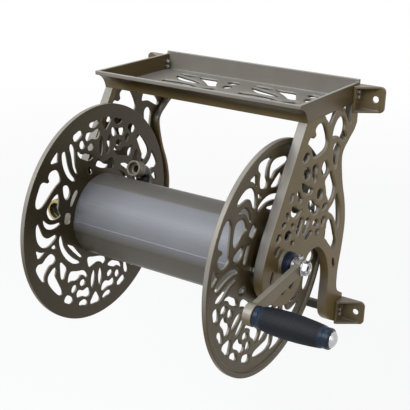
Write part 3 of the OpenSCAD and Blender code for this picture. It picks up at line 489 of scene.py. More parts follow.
def rounded(node, material, radius, steps=3, partners=()):
    """A copy of a node with its sharp edges rounded by radius, save where they lie on a
    partner."""
    mesh = nodes[node].data.copy()
    work = bmesh.new()
    work.from_mesh(mesh)
    bmesh.ops.remove_doubles(work, verts=work.verts, dist=WELD)
    bmesh.ops.dissolve_limit(
        work, angle_limit=math.radians(1), verts=work.verts, edges=work.edges
    )
    partner = surface_of(partners)
    marks = work.edges.layers.float.new("bevel_weight_edge")
    for edge in work.edges:
        if edge.calc_face_angle(0) < EDGE_ANGLE:
            continue
        middle = (edge.verts[0].co + edge.verts[1].co) / 2
        free = partner.find_nearest(middle, 0.04 * MM)[0] is None
        edge[marks] = free
        edge.smooth = free
    work.to_mesh(mesh)
    work.free()
    mesh.shade_smooth()
    piece = in_scene(node + "_cast", mesh)
    bevel = piece.modifiers.new("soft_edges", "BEVEL")
    bevel.limit_method, bevel.width, bevel.segments = "WEIGHT", radius, steps
    bevel.use_clamp_overlap = False
    bevel.miter_outer = "MITER_ARC"
    even_normals(piece)
    return adopt(piece, material, node)


for side in ("left", "right"):
    rounded(f"{side}_side_frame", frame_coat, 1.2 * MM,
            partners=(f"{side}_scroll_panel", "top_tray"))
    for level in ("upper", "lower"):
        rounded(f"{level}_{side}_bracket", bracket_coat, 0.9 * MM)
rounded("top_tray", tray_coat, 0.9 * MM,
        partners=("tray_grille", "left_side_frame", "right_side_frame"))
rounded("lower_rail", rail_coat, 0.8 * MM)

# %% [markdown]
# Fretwork: reading an outline
#
# The flanges, the side panels and the tray's floor are plates full of curled openings. To
# round their strands properly their outlines are needed as ordered curves. A flat face is
# a heap of triangles: a side that only one triangle has lies on an outline. Each such side
# says which corner follows which, and list ranking (jumping twice as far each pass) puts
# every outline in order without walking along it.

# %% Outlines of a flat face
def outlines(node, across, level):
    """The ordered outlines of a node's flat face where coordinate `across` equals level.
    Each is an array of 2-D points with the solid on its left."""
    work = bmesh.new()
    work.from_mesh(nodes[node].data)
    bmesh.ops.remove_doubles(work, verts=work.verts, dist=0.01 * MM)
    mesh = bpy.data.meshes.new("welded")
    work.to_mesh(mesh)
    work.free()
    mesh.calc_loop_triangles()
    points = np.empty(len(mesh.vertices) * 3)
    mesh.vertices.foreach_get("co", points)
    points = points.reshape(-1, 3)
    triangles = np.empty(len(mesh.loop_triangles) * 3, int)
    mesh.loop_triangles.foreach_get("vertices", triangles)
    triangles = triangles.reshape(-1, 3)
    bpy.data.meshes.remove(mesh)
    flat = (np.abs(points[triangles][:, :, across] - level) < 0.01 * MM).all(axis=1)
    start = triangles[flat].ravel()
    end = np.roll(triangles[flat], -1, axis=1).ravel()
    lone = ~np.isin(start * len(points) + end, end * len(points) + start)
    start, end = start[lone], end[lone]
    order = np.argsort(start)
    start, end = start[order], end[order]
    follower = np.searchsorted(start, end) % len(start)
    print(node, "sides on outlines", len(start), "loose ends", int((start[follower] != end).sum()))
    own, passes = np.arange(len(start)), len(start).bit_length()
    name, jump = own, follower
    for _ in range(passes):
        name, jump = np.minimum(name, name[jump]), jump[jump]
    head = name == own
    jump, steps = np.where(head, own, follower), np.where(head, 0, 1)
    for _ in range(passes):
        steps, jump = steps + steps[jump], jump[jump]
    order = np.lexsort((-steps, name))
    flat_axes = [(across + 1) % 3, (across + 2) % 3]
    rims = np.split(points[start[order]][:, flat_axes], np.flatnonzero(np.diff(name[order])) + 1)
    rims = [rim for rim in rims if len(rim) > 2]
    widest = max(rims, key=lambda rim: np.ptp(rim[:, 0]))
    then = np.roll(widest, -1, axis=0)
    area = (widest[:, 0] * then[:, 1] - widest[:, 1] * then[:, 0]).sum()
    return [rim if area > 0 else rim[::-1] for rim in rims]


print("1000 corners are put in order in", (1000).bit_length(), "passes")


# %% Finer outlines
def finer(rim, fixed):
    """Puts two new points on each side of a rim, on a cubic curve whose slope at each
    point follows its neighbours. Corners among the fixed points stay sharp."""
    side = np.roll(rim, -1, axis=0) - rim
    length = np.linalg.norm(side, axis=1, keepdims=True)
    last_side, last_length = np.roll(side, 1, axis=0), np.roll(length, 1, axis=0)
    slope = side / length * last_length + last_side / last_length * length
    slope /= np.linalg.norm(slope, axis=1, keepdims=True) + 1e-12
    straight = (side * last_side).sum(axis=1) / (length * last_length)[:, 0]
    sharp = (fixed & (straight < 0.9))[:, None]
    leave = np.where(sharp, side / length, slope)
    arrive = np.where(np.roll(sharp, -1, axis=0), side / length, np.roll(slope, -1, axis=0))
    t = np.linspace(0, 1, 3, endpoint=False)[:, None]
    here, there = rim[:, None], np.roll(rim, -1, axis=0)[:, None]
    curve = (
        (2 * t**3 - 3 * t**2 + 1) * here + (t**3 - 2 * t**2 + t) * (leave * length)[:, None]
        + (3 * t**2 - 2 * t**3) * there + (t**3 - t**2) * (arrive * length)[:, None]
    )
    both = fixed & np.roll(fixed, -1)
    kept = np.where(t[:, 0] == 0, fixed[:, None], both[:, None])
    return curve.reshape(-1, 2), kept.reshape(-1)


square = np.array(((0, 0), (1, 0), (1, 1), (0, 1.0)))
print("4 free corners become", len(finer(square, np.zeros(4, bool))[0]), "points")

# %% [markdown]
# Fretwork: rounding every strand
#
# On a sand casting, a thin strand is round over its whole width and a wide one only at its
# edges. So each outline point asks how much room it has: the radius of the largest circle
# that touches the outline there and stays in the metal. The edge is rounded by that much,
# up to a limit. Circle through a second point at distance d, tangent at the first with
# inward normal n: radius = |d| squared / (2 d.n).

# %% Room in the metal
def inward_normals(rim):
    """Unit normals of a closed rim, to its left."""
    way = np.roll(rim, -1, axis=0) - np.roll(rim, 1, axis=0)
    way /= np.linalg.norm(way, axis=1, keepdims=True) + 1e-12
    return np.stack((-way[:, 1], way[:, 0]), axis=1)


def walked(rim):
    """Points along every side of a rim, at most 0.8 mm apart."""
    side = np.roll(rim, -1, axis=0) - rim
    count = np.ceil(np.linalg.norm(side, axis=1) / (0.8 * MM)).astype(int).clip(1)
    which = np.repeat(np.arange(len(rim)), count)
    along = (np.arange(count.sum()) - np.repeat(np.cumsum(count) - count, count)) / count[which]
    return rim[which] + along[:, None] * side[which]


def room_inside(points, normals, others):
    """For each point, the least |d|^2 / (2 d.n) over all the others."""
    least = []
    for block in np.array_split(np.arange(len(points)), len(points) // 500 + 1):
        gap = (others[None] - points[block, None]).astype(np.float32)
        ahead_by = np.einsum("ijk,ik->ij", gap, normals[block].astype(np.float32))
        far = (gap**2).sum(axis=2)
        circle = np.where(ahead_by > 1e-7, far / (2 * np.maximum(ahead_by, 1e-7)), 1)
        least.append(circle.min(axis=1))
    return np.concatenate(least)


def evened(reach):
    """Reach along one closed rim without jumps: the least within two points each way,
    then the mean over as many."""
    turns = range(-2, 3)
    least = np.min([np.roll(reach, turn) for turn in turns], axis=0)
    return np.mean([np.roll(least, turn) for turn in turns], axis=0)


print("a spike of 5 is evened to", evened(np.array((1, 1, 1, 5, 1, 1, 1))).max())


# %% Filling between rims
def cap(rims):
    """Triangles that fill the solid between ordered rims, as (points, triangles)."""
    points = np.concatenate(rims)
    counts = [len(rim) for rim in rims]
    starts = np.repeat(np.cumsum([0, *counts[:-1]]), counts)
    place = np.arange(len(points)) - starts
    follower = starts + (place + 1) % np.repeat(counts, counts)
    sides = np.stack((np.arange(len(points)), follower), axis=1)
    found = delaunay_2d_cdt([Vector(p) for p in points.tolist()], sides.tolist(), [], 0, 1e-9)
    corners = np.array([tuple(v) for v in found[0]])
    triangles = np.array(found[2])
    centre = corners[triangles].mean(axis=1)
    low, high = points[:, None], points[follower][:, None]
    spans = (low[..., 1] > centre[:, 1]) != (high[..., 1] > centre[:, 1])
    way = high - low
    with np.errstate(divide="ignore", invalid="ignore"):
        cross = low[..., 0] + (centre[:, 1] - low[..., 1]) / way[..., 1] * way[..., 0]
    inside = (spans & (centre[:, 0] < cross)).sum(axis=0) % 2 == 1
    return corners, triangles[inside]


def raise_to(points, across, level):
    """2-D points on the plane where coordinate `across` equals level."""
    level = np.broadcast_to(level, points.shape[:-1])[..., None]
    flat = np.concatenate((level, points), axis=-1)
    return np.roll(flat, across, axis=-1)


print("raised:", raise_to(np.array((1.0, 2.0)), 2, 3.0))

# %% Rounded plates
ROOM_SHARE, BACK_SHARE = 0.84, 0.3


def fret_plate(node, across, face, back, radius, is_fixed, deep=0.55):
    """A plate with the node's outlines. Its edges are rounded towards face by radius where
    there is room, `deep` times as far down, and a little towards back. Fixed edges get a
    skirt that reaches into the neighbour. Returns a list of (points, faces)."""
    rims = [finer(rim, is_fixed(rim)) for rim in outlines(node, across, face)]
    points = np.concatenate([rim for rim, _ in rims])
    normals = np.concatenate([inward_normals(rim) for rim, _ in rims])
    fixed = np.concatenate([kept for _, kept in rims])
    splits = np.cumsum([len(rim) for rim, _ in rims])[:-1]
    around = np.concatenate([walked(rim) for rim, _ in rims])
    reach = np.minimum(radius, ROOM_SHARE * room_inside(points, normals, around)) * ~fixed
    reach = np.concatenate([evened(part) for part in np.split(reach, splits)]) * ~fixed
    held = np.concatenate([evened(part) for part in np.split(fixed * 1.0, splits)])
    t = np.linspace(0, math.pi / 2, 6)[:, None]
    out = np.sign(face - back)
    top_in, top_drop = (1 - np.cos(t)) * reach, deep * (1 - np.sin(t)) * reach
    low_in, low_drop = top_in * BACK_SHARE, top_drop * BACK_SHARE
    inward = np.concatenate((top_in[::-1], low_in))
    inward[1:-1] -= 0.5 * MM * held
    skirt = 0.01 * MM * held * (t < math.pi / 2 - 0.01)
    level = np.concatenate((face - out * (top_drop + skirt)[::-1], back + out * (low_drop + skirt)))
    rings = points + inward[..., None] * normals
    parts = []
    for ring, height in zip(np.split(rings, splits, axis=1), np.split(level, splits, axis=1)):
        rows, count = height.shape
        row, col = np.meshgrid(np.arange(rows - 1), np.arange(count), indexing="ij")
        after = (col + 1) % count
        quads = np.stack((row, col, row, after, row + 1, after, row + 1, col), axis=-1)
        quads = quads.reshape(-1, 4, 2) @ (count, 1)
        wall = raise_to(ring, across, height).reshape(-1, 3)
        parts.append((wall, quads[:, ::-1] if out > 0 else quads))
    for ring, height, flip in ((rings[0], face, out < 0), (rings[-1], back, out > 0)):
        corners, triangles = cap(np.split(ring, splits))
        parts.append((raise_to(corners, across, height), triangles[:, ::-1] if flip else triangles))
    return parts


print("a strand is rounded by at most", ROOM_SHARE, "of its room")


# %% Joined pieces
def ring_quads(rows, count):
    """Quads between each closed row of `count` points and the next, the last row to the
    first."""
    row, col = np.meshgrid(np.arange(rows), np.arange(count), indexing="ij")
    below, after = (row + 1) % rows, (col + 1) % count
    quads = np.stack((row, col, below, col, below, after, row, after), axis=-1)
    return quads.reshape(-1, 4, 2) @ (count, 1)


def joined(name, parts, corner=40):
    """One object from several (points, faces) parts, welded where they meet, with its
    normals weighted by face size and sharp only at corners."""
    work = bmesh.new()
    for points, faces in parts:
        mesh = bpy.data.meshes.new("part")
        mesh.from_pydata(points.tolist(), [], faces.tolist())
        work.from_mesh(mesh)
        bpy.data.meshes.remove(mesh)
    bmesh.ops.remove_doubles(work, verts=work.verts, dist=WELD)
    whole = bpy.data.meshes.new(name)
    work.to_mesh(whole)
    work.free()
    whole.shade_smooth()
    whole.set_sharp_from_angle(angle=math.radians(corner))
    piece = in_scene(name, whole)
    even_normals(piece)
    print(name, "faces", len(whole.polygons))
    return piece


def ring_about_axle(profile, count, inwards):
    """A closed profile of (x, radius) rows carried round the axle. Rows in order give
    outward faces when the profile runs anticlockwise seen with x to the right and radius
    up."""
    angle = np.arange(count) * TURN / count
    points = round_axle(angle, profile[:, 1:], profile[:, :1])
    quads = ring_quads(len(profile), count)
    return points.reshape(-1, 3), quads[:, ::-1] if inwards else quads


print("a ring of 4 rows by 8 has", len(ring_quads(4, 8)), "quads")

# %% [markdown]
# The two flanges
#
# Each flange is one casting: a fretted web, a lip round its outer face and a hub. The web
# comes from its own outlines. The lip and hub are profiles turned about the axle, with a
# fillet where they rise from the web, as the pattern maker's wax leaves it.

# %% Flanges
def arc(centre_x, centre_r, radius, start, stop):
    """Five points on a quarter circle in the (x, radius) plane, angles in degrees."""
    a = np.radians(np.linspace(start, stop, 5))
    return np.stack((centre_x + radius * np.cos(a), centre_r + radius * np.sin(a)), axis=1)


def flange(side):
    """Web, lip and hub of one flange; side is +1 right, -1 left."""
    node = "right_flange" if side > 0 else "left_flange"
    low, high = np.array(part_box(node))
    rim_r = (high[2] - low[2]) / 2
    inner = min(abs(low[0]), abs(high[0]))
    web, lip_top, hub_top = inner + FLANGE_WEB, inner + 7.5 * MM, max(abs(low[0]), abs(high[0]))
    lip_r, hub_r, bore_r = rim_r - 8 * MM, 16 * MM, 10.1 * MM

    def is_fixed(rim):
        radius = np.hypot(rim[:, 0] - AXLE[1], rim[:, 1] - AXLE[2])
        return (radius > lip_r - 0.2 * MM) | (radius < hub_r + 0.2 * MM)

    parts = fret_plate(node, 0, side * web, side * inner, 4.2 * MM, is_fixed, 0.5)
    soft, fillet = 1.3 * MM, 1.8 * MM
    lip = np.concatenate((
        [(inner, lip_r)],
        [(web, lip_r - fillet)],
        arc(web + fillet, lip_r - fillet, fillet, 180, 90)[1:],
        arc(lip_top - soft, lip_r + soft, soft, -90, 0),
        arc(lip_top - soft, rim_r - soft, soft, 0, 90),
        arc(inner + soft, rim_r - soft, soft, 90, 180),
    ))
    hub = np.concatenate((
        [(inner, bore_r)],
        [(hub_top, bore_r)],
        arc(hub_top - soft, hub_r - soft, soft, 0, 90),
        arc(web + fillet, hub_r + fillet, fillet, 270, 180),
        [(inner, hub_r + fillet)],
    ))
    for profile in (lip, hub):
        parts.append(ring_about_axle(profile * (side, 1), 160, inwards=side < 0))
    return adopt(joined(node + "_cast", parts), shaded_flange_coat, node)


for side in (1, -1):
    flange(side)

# %% [markdown]
# Side panels and tray floor
#
# These plates end in other nodes. A rim point that lies on a neighbour's solid is fixed:
# it isn't rounded, so that the two nodes meet without a groove.

# %% Side panels and tray floor
def touches(names, across, level):
    """A test for rim points that lie on the solids of these nodes."""
    search = surface_of(names)

    def is_fixed(rim):
        return np.array([
            search.find_nearest(Vector(p), 0.06 * MM)[0] is not None
            for p in raise_to(rim, across, level).tolist()
        ])

    return is_fixed


for side in ("left", "right"):
    node = f"{side}_scroll_panel"
    low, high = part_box(node)
    face, back = (high[0], low[0]) if side == "right" else (low[0], high[0])
    on_frame = touches((f"{side}_side_frame", "top_tray"), 0, face)
    plate = fret_plate(node, 0, face, back, 6.0 * MM, on_frame)
    adopt(joined(node + "_cast", plate), scroll_coat, node)
low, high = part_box("tray_grille")
on_tray = touches(("top_tray",), 2, high[2])
plate = fret_plate("tray_grille", 2, high[2], low[2], 4.0 * MM, on_tray, 0.5)
adopt(joined("tray_grille_cast", plate), shelf_coat, "tray_grille")
print("grille's top face at", round(high[2], 4))

# %% [markdown]
# Turned and bent pieces
#
# Pipes, bushes, nuts and the grip are all one idea: a profile carried round a path. The
# profile is a closed line of (distance along, radius), with its corners softened. The path
# may be straight, like a lathe's axis, or bend, like the outlet. A relief adds what turning
# can't: a helical thread, a hexagon or a knurl.

# %% Profiles
def soften(corners, radius, steps=4):
    """Rounds the corners of a closed profile. Corner P becomes the curve
    (1-t)^2 A + 2t(1-t) P + t^2 B between A and B on its two sides."""
    corners = np.asarray(corners, float)
    ways = [np.roll(corners, turn, axis=0) - corners for turn in (1, -1)]
    lengths = [np.linalg.norm(way, axis=1, keepdims=True) + 1e-12 for way in ways]
    start, end = (
        corners + way / length * np.minimum(radius, 0.48 * length)
        for way, length in zip(ways, lengths)
    )
    t = np.linspace(0, 1, steps + 1)[:, None]
    curve = (1 - t)**2 * start[:, None] + 2 * t * (1 - t) * corners[:, None] + t**2 * end[:, None]
    return curve.reshape(-1, 2)


def ramp(value, low, high):
    """0 below low, 1 above high, smooth between: t^2 (3 - 2t)."""
    t = np.clip((value - low) / (high - low), 0, 1)
    return t * t * (3 - 2 * t)


print("halfway up a ramp:", float(ramp(0.5, 0, 1)))


# %% Paths and turned pieces
def straight(place, way):
    """A straight path from place along the unit vector way."""
    place, way = np.asarray(place, float), np.asarray(way, float)
    u = np.cross(way, (0, 0, 1) if abs(way[2]) < 0.9 else (0, 1, 0))
    u /= np.linalg.norm(u)
    v = np.cross(way, u)
    return lambda along: (
        place + along[:, None] * way, np.tile(u, (len(along), 1)), np.tile(v, (len(along), 1))
    )


def spun(path, profile, count, relief):
    """A closed profile of (along, radius) rows carried round a path:
    centre + r (u cos a + v sin a). A relief(angle, along, radius) is added to r."""
    along, radius = np.asarray(profile, float).T[:, :, None]
    angle = np.arange(count) * TURN / count
    if relief:
        radius = radius + relief(angle, along, radius)
    centre, u, v = (part[:, None] for part in path(along[:, 0]))
    points = centre + np.broadcast_to(radius, (len(along), count))[..., None] * (
        u * np.cos(angle)[:, None] + v * np.sin(angle)[:, None]
    )
    return points.reshape(-1, 3), ring_quads(len(along), count)


def outward(piece):
    """Welds the poles of a closed piece and turns all its faces outwards."""
    work = bmesh.new()
    work.from_mesh(piece.data)
    bmesh.ops.dissolve_degenerate(work, dist=1e-6, edges=work.edges)
    bmesh.ops.recalc_face_normals(work, faces=work.faces)
    work.to_mesh(piece.data)
    work.free()
    return piece


def turned(node, material, path, profile, count=96, relief=None, corner=40):
    """A finished piece in place of a node, spun from one profile."""
    part = spun(path, profile, count, relief)
    return adopt(outward(joined(node + "_turned", [part], corner)), material, node)


# %% [markdown]
# The drum
#
# Sheet steel is rolled until its edges lap, then welded. Rolling leaves flats between the
# bends, and the lap stands one sheet proud. Both change how the light runs along the
# drum, so they are shaped; the paint adds painted reflection and shade by zone as well. A
# flat between two bends keeps to the chord: r = R cos(half) / cos(a - middle), mixed with
# the round r = R.

# %% Drum
drum_low, drum_high = np.array(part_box("drum_shell"))
DRUM_R = (drum_high[2] - drum_low[2]) / 2
LAP_FROM, LAP_TO, LAP_THICK = 174.6, 189.2, 1.0 * MM
BENDS = (40, 84, *GROOVES, LAP_FROM, LAP_TO, 222, 262, 310)


def drum():
    """The rolled shell: a closed wall section in the plane across the axle, drawn at
    several places along it and closed at both ends."""
    near = [bend + np.array((-1.2, -0.7, -0.35, 0, 0.35, 0.7, 1.2)) for bend in BENDS]
    degrees = np.unique(np.concatenate((np.arange(0, 360, 2.5), *near)))
    bends = np.array((BENDS[-1] - 360, *BENDS, BENDS[0] + 360))
    last = np.searchsorted(bends, degrees, side="right") - 1
    middle, half = (bends[last] + bends[last + 1]) / 2, (bends[last + 1] - bends[last]) / 2
    chord = np.cos(np.radians(half)) / np.cos(np.radians(degrees - middle))
    outer = DRUM_R * (1 + 0.3 * (chord - 1))
    rise = ramp(degrees, LAP_FROM - 0.4, LAP_FROM + 0.4)
    fall = ramp(-degrees, -LAP_TO - 0.4, -LAP_TO + 0.4)
    outer += LAP_THICK * rise * fall
    off_groove = np.abs(degrees[:, None] - GROOVES).min(axis=1)
    outer -= 0.25 * MM * ramp(-off_groove, -0.9, 0)
    inner = np.full(len(degrees), DRUM_R - 2 * MM)
    angle = np.radians(degrees)
    ends = (drum_low[0], drum_high[0])
    lip = 0.3 * MM
    rows = [
        round_axle(angle, radius, x) for radius, x in (
            (inner, ends[0]), (outer - lip, ends[0]), (outer, ends[0] + lip),
            (outer, ends[1] - lip), (outer - lip, ends[1]), (inner, ends[1]),
        )
    ]
    quads = ring_quads(len(rows), len(degrees))
    shell = joined("drum_rolled", [(np.concatenate(rows), quads)], 50)
    return adopt(outward(shell), drum_paint, "drum_shell")


drum()

# %% [markdown]
# Water outlet
#
# The outlet turns back over the drum so that the hose starts on the drum's surface. Its
# end carries a garden hose thread: 11.5 turns to the inch, a helix of rounded ridges.

# %% Outlet
OUTLET_X = sum(c[0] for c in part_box("outlet_elbow")) / 2
BEND_AT, BEND_R = DRUM_R + 4.6 * MM, 11.5 * MM
BEND_LEN = BEND_R * math.radians(BEND_DEG)
OUT_WAY = np.array((math.cos(math.radians(OUT_DEG)), math.sin(math.radians(OUT_DEG))))
BORE_R, PIPE_R, THREAD_R, THREAD_PITCH = 5 * MM, 8.5 * MM, 12.5 * MM, 2.209 * MM


def outlet_path(along):
    """Round the bend, then straight on: angles count from the wall over the top."""
    turn = np.clip(along / BEND_LEN, 0, 1) * math.radians(BEND_DEG)
    side = np.array((-OUT_WAY[1], OUT_WAY[0]))
    hub = AXLE[1:] + BEND_AT * OUT_WAY + BEND_R * side
    lean = math.radians(OUT_DEG) + turn - math.pi / 2
    out = np.stack((np.cos(lean), np.sin(lean)), axis=1)
    ahead_of = np.stack((-out[:, 1], out[:, 0]), axis=1)
    flat = hub + BEND_R * out + np.maximum(along - BEND_LEN, 0)[:, None] * ahead_of
    zero = np.zeros((len(along), 1))
    centre = np.concatenate((zero + OUTLET_X, flat), axis=1)
    return centre, np.concatenate((zero, out), axis=1), np.tile((1.0, 0, 0), (len(along), 1))


def thread(first, last, pitch, depth):
    """A relief: a helical groove of this depth between two places along."""
    def relief(angle, along, radius):
        wave = (along / pitch - angle / TURN) % 1
        groove = np.abs(wave * 2 - 1)**1.6
        fade = ramp(along, first, first + pitch) * ramp(-along, -last, -last + 0.6 * pitch)
        return -depth * (1 - groove) * fade * (radius > 11 * MM)

    return relief


def outlet():
    """The elbow: a bent pipe, a collar, the thread's ridges and a stepped mouth. Places
    along it count from the drum."""
    turns = np.linspace(0, BEND_LEN, 24)[1:-1]
    body = np.array(((10, 8.5), (10, 11.5), (13, 11.5), (13, 9.6), (14.6, 9.6), (14.6, 12.5))) * MM
    ridge = np.linspace(15.2, 27.4, 74)[:, None] * (MM, 0) + (0, THREAD_R)
    mouth = np.array(((28, 12.5), (28, 9.3), (18, 9.3), (18, 5))) * MM
    shift = (BEND_LEN, 0)
    profile = np.concatenate((
        soften(np.array(((0, 5), (0, 8.5), (0.6, 8.5))) * MM, 0.2 * MM),
        np.stack((turns, np.full(22, PIPE_R)), axis=1),
        soften(body + shift, 0.4 * MM, 3), ridge + shift, soften(mouth + shift, 0.7 * MM, 3),
        np.stack((turns[::-1], np.full(22, BORE_R)), axis=1),
    ))
    relief = thread(BEND_LEN + 14.8 * MM, BEND_LEN + 28 * MM, THREAD_PITCH, 0.95 * MM)
    return turned("outlet_elbow", outlet_metal, outlet_path, profile, 96, relief, 60)


outlet()
neck = straight(AXLE + (OUTLET_X, 0, 0), (0, *OUT_WAY))
turned("outlet_nipple", outlet_metal, neck, soften(
    ((DRUM_R - 3 * MM, BORE_R), (DRUM_R - 3 * MM, PIPE_R), (BEND_AT, PIPE_R), (BEND_AT, BORE_R)),
    0.3 * MM,
))
print("outlet bends through", BEND_DEG, "degrees over", round(BEND_LEN, 4))

# %% [markdown]
# Bushes, washers and the crank's nut
#
# The frame's boss holds a black nylon bush with a stepped collar. Outside it come two
# washers, the crank's hub and a nut. The nut is a cylinder cut by six flats,
# r = apothem / cos(a), and chamfered so that its corners fade into arcs.

# %% Bushes
for side, node in ((1, "right_bush"), (-1, "left_bush")):
    inner, face = sorted(abs(c[0]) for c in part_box(node))
    collar_r = (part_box(node)[1][1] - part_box(node)[0][1]) / 2
    step = face - 11 * MM
    turned(node, nylon, straight(AXLE, (side, 0, 0)), soften((
        (inner, 10.05 * MM), (inner, 13.5 * MM), (step, 13.5 * MM), (step, collar_r),
        (face - 4.2 * MM, collar_r), (face - 4.2 * MM, collar_r - 0.9 * MM),
        (face - 3.2 * MM, collar_r - 0.9 * MM), (face - 3.2 * MM, collar_r - 0.2 * MM),
        (face - 1.6 * MM, collar_r - 0.6 * MM), (face, collar_r - 2.6 * MM), (face, 10.05 * MM),
    ), 0.5 * MM))

# %% The crank's nut
NUT_FLATS, hex_angle = 21 * MM, TURN / 6
nut_in, nut_out = np.array(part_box("crank_nut"))[:, 0]


def hexagon(angle, along, radius):
    """Cuts rows past the nut's flange back to six flats."""
    flat = NUT_FLATS / 2 * math.cos(hex_angle / 2) / np.cos(angle % hex_angle - hex_angle / 2)
    cut = (along > nut_in + 1.9 * MM) & (radius > 8.6 * MM)
    return np.where(cut, np.minimum(flat - radius, 0), 0)


turned("crank_nut", zinc, straight(AXLE, (1, 0, 0)), soften((
    (nut_in, 7.1 * MM), (nut_in, 11.5 * MM), (nut_in + 1.7 * MM, 11.5 * MM),
    (nut_in + 2.0 * MM, 10.5 * MM), (nut_out - 1.4 * MM, 10.5 * MM), (nut_out, 8.9 * MM),
    (nut_out, 8.2 * MM), (nut_out - 1.0 * MM, 7.1 * MM),
), 0.35 * MM), 144, hexagon, 32)

# %% The crank's arm and the small hardware
rounded("crank_arm", crank_coat, 1.1 * MM)
for node, metal, edge in (
    ("crank_washers", zinc, 0.4), ("crank_set_screw", zinc, 0.5), ("grip_spindle", zinc, 0.5),
    ("axle_tube", axle_steel, 0.8), ("tie_rods", axle_steel, 0.5), ("tie_rod_nuts", zinc, 0.35),
    ("tray_end_screws", zinc, 0.4), ("tray_end_nuts", zinc, 0.35), ("foot_screws", dull_zinc, 0.4),
    ("foot_nuts", dull_zinc, 0.35), ("tray_floor_screws", zinc, 0.5), ("feed_pipe", axle_steel, 0.3),
    ("outlet_gasket", seal_rubber, 0.5), ("inlet_elbow", brass, 0.5), ("inlet_nut", brass, 0.45),
    ("inlet_seal", seal_rubber, 0.2), ("inlet_washer", seal_rubber, 0.3),
):
    rounded(node, metal, edge * MM, 2)

# %% [markdown]
# The grip and its nut
#
# A moulded rubber sleeve: it swells in the middle, has a collar at each end and a diamond
# knurl between. Two families of helical grooves cross, and the height of the knurl is the
# lower of the two waves, |sin(n a / 2 + pi s / p)| and |sin(n a / 2 - pi s / p)|.

# %% The grip
def knurl(first, last, around, pitch, depth):
    """A relief of diamonds, `around` of them round the grip and `pitch` apart along it."""
    def relief(angle, along, radius):
        waves = [np.abs(np.sin(angle * around / 2 + way * math.pi * along / pitch)) for way in (1, -1)]
        height = np.minimum(*waves)**0.7
        fade = ramp(along, first, first + pitch) * ramp(-along, -last, -last + pitch)
        return -depth * (1 - height) * fade * (radius > 10 * MM)

    return relief


grip_len, grip_r = grip_high[0] - grip_low[0], (grip_high[2] - grip_low[2]) / 2
share, swell = np.array((
    (0, 0.70), (0.008, 0.78), (0.038, 0.79), (0.052, 0.735), (0.075, 0.79), (0.12, 0.875),
    (0.25, 0.965), (0.42, 0.997), (0.6, 0.965), (0.78, 0.885), (0.895, 0.805), (0.928, 0.735),
    (0.952, 0.755), (0.988, 0.755), (1, 0.69),
)).T
fine = np.linspace(0, 1, 246)
smooth = np.interp(fine, share, swell)
smooth[3:-3] = np.convolve(smooth, np.ones(7) / 7, "valid")
sleeve = np.concatenate((
    np.stack((fine * grip_len, smooth * grip_r), axis=1),
    ((grip_len, 5.05 * MM), (0, 5.05 * MM)),
))
turned("grip_sleeve", grip_rubber, straight(GRIP + (grip_low[0], 0, 0), (1, 0, 0)), sleeve, 216,
       knurl(0.085 * grip_len, 0.9 * grip_len, 36, 3.0 * MM, 0.75 * MM), 70)

# %% The grip's cap nut
DOME_R = 14.5 * MM
cap_in, cap_out = np.array(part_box("grip_cap_nut"))[:, 0]
dome = np.linspace(0, 1, 14)[:, None]
dome_r = 10.1 * MM * (1 - dome)
turned("grip_cap_nut", zinc, straight(GRIP, (1, 0, 0)), np.concatenate((
    soften(((cap_in, 0), (cap_in, 10.5 * MM), (cap_in + 1.2 * MM, 10.5 * MM)), 0.3 * MM)[3:],
    np.concatenate((cap_out - DOME_R + np.sqrt(DOME_R**2 - dome_r**2), dome_r), axis=1),
)), 96, None, 60)
print("grip", round(float(grip_len), 4), "long,", round(float(grip_r), 4), "at its thickest")

# %% [markdown]
# The camera
#
# The camera stands where the photograph was taken from: it was worked out from the
# straight edges and circles of the object. The shift keeps the photograph's centre.

# %% Camera
YAW, PITCH, ROLL = 0.563, 0.352, 0.030
EYE = Vector((0.69676, -1.25411, 0.48470))
FOCAL_PIXELS, PHOTO_PIXELS = 899.43, 410
CENTRE_PIXELS = (205.186, 205.921)

level_right = Vector((math.cos(YAW), math.sin(YAW), 0))
over_floor = math.cos(PITCH)
ahead = Vector((-math.sin(YAW) * over_floor, math.cos(YAW) * over_floor, -math.sin(PITCH)))
level_up = level_right.cross(ahead)
right = math.cos(ROLL) * level_right + math.sin(ROLL) * level_up
up = math.cos(ROLL) * level_up - math.sin(ROLL) * level_right
camera = in_scene("camera", bpy.data.cameras.new("camera"))
turn = Matrix((right, up, -ahead)).transposed()
camera.matrix_world = Matrix.LocRotScale(EYE, turn.to_quaternion(), None)
camera.data.sensor_width = 36
camera.data.lens = FOCAL_PIXELS / PHOTO_PIXELS * camera.data.sensor_width
camera.data.shift_x = 0.5 - CENTRE_PIXELS[0] / PHOTO_PIXELS
camera.data.shift_y = CENTRE_PIXELS[1] / PHOTO_PIXELS - 0.5
camera.data.clip_start, camera.data.clip_end = 0.05, 50
bpy.context.scene.camera = camera
print("lens", round(camera.data.lens, 2), "mm")

# %% [markdown]
# Lamps
#
# Two large soft lamps stand at the front, with weak ones above and at the right. Together
# they are just strong enough that a colour facing the camera renders about as written.

# %% Lamps
def lamp(name, place, target, width, watts, colour):
    """A square soft lamp of this width at place, facing target."""
    light = bpy.data.lights.new(name, "AREA")
    light.size, light.energy, light.color = width, watts, colour
    holder = in_scene(name, light)
    facing = (Vector(target) - Vector(place)).to_track_quat("-Z", "Y")
    holder.matrix_world = Matrix.LocRotScale(Vector(place), facing, None)
    return holder


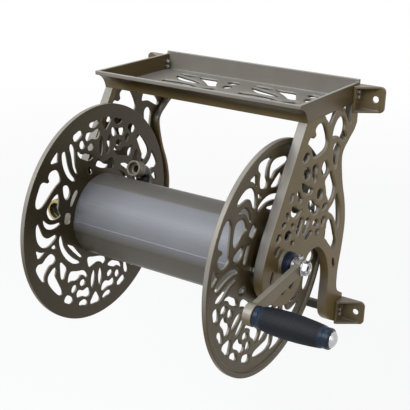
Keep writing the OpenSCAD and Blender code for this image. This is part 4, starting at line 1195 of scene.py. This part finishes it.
middle = (0, -0.15, 0)
lamp("key", (-0.95, -2.0, 1.75), middle, 1.7, 43, (0.92, 0.96, 1.0))
lamp("front", (0.30, -2.15, 1.65), middle, 1.3, 31, (0.92, 0.96, 1.0))
lamp("top", (-0.8, 0.1, 2.0), middle, 1.4, 8, (0.97, 0.98, 1.0))
lamp("side", (2.4, -0.7, 0.6), middle, 1.4, 8, (1.0, 0.88, 0.72))
print("lamps:", [light.name for light in bpy.data.lights])

# %% [markdown]
# Floor and surround
#
# White around an object should not mean more light on it. The Light Path node tells rays
# that are looked at from rays that carry light: the camera, metal and glass see white, and
# only weak grey light falls on the reel. The floor keeps its shadow near the reel and
# fades to white far away.

# %% Floor and surround
FLOOR_Z, FLOOR_HALF = -0.62, 20.0
paper = Finish("floor_paper", Roughness=0.9)
any_ray = paper.looked_at()
glow = paper.node("ShaderNodeEmission", {}, Color=(1, 1, 1, 1), Strength=1.0)
matte = Wire(paper, paper.surface.outputs[0])
paper.set(Base_Color=paper.blend(any_ray * (paper.noise(3, 2) * 0.04 + 0.94),
                                 (0.16, 0.16, 0.16), (0.92, 0.92, 0.92)))
from_middle = paper.node("ShaderNodeVectorMath", {"operation": "LENGTH"}, paper.place, out="Value")
seen_white = from_middle.above(2.5, 3.0) * 0.12 + 0.88
seen_floor = paper.node("ShaderNodeMixShader", {}, any_ray * seen_white, matte, glow)
paper.tree.links.new(seen_floor.socket, paper.tree.nodes["Material Output"].inputs["Surface"])
sheet = bpy.data.meshes.new("floor")
corners = np.array(((-1, -1, 0), (1, -1, 0), (1, 1, 0), (-1, 1, 0))) * FLOOR_HALF + (0, 0, FLOOR_Z)
sheet.from_pydata(corners.tolist(), [], [(0, 1, 2, 3)])
sheet.materials.append(paper.material)
in_scene("floor", sheet)

world = bpy.data.worlds.new("surround")
bpy.context.scene.world = world
world.use_nodes = True
sky = Wiring(world.node_tree)
background = sky.tree.nodes["Background"]
background.inputs["Color"].default_value = (0.92, 0.95, 1.0, 1)
background.inputs["Strength"].default_value = 0.26
soft_grey = Wire(sky, background.outputs[0])
white = sky.node("ShaderNodeBackground", {}, Color=(1, 1, 1, 1))
seen_sky = sky.node("ShaderNodeMixShader", {}, sky.looked_at(), soft_grey, white)
sky.tree.links.new(seen_sky.socket, sky.tree.nodes["World Output"].inputs["Surface"])
bpy.context.scene.view_settings.view_transform = "Standard"
print("floor", 2 * FLOOR_HALF, "m wide, at height", FLOOR_Z)
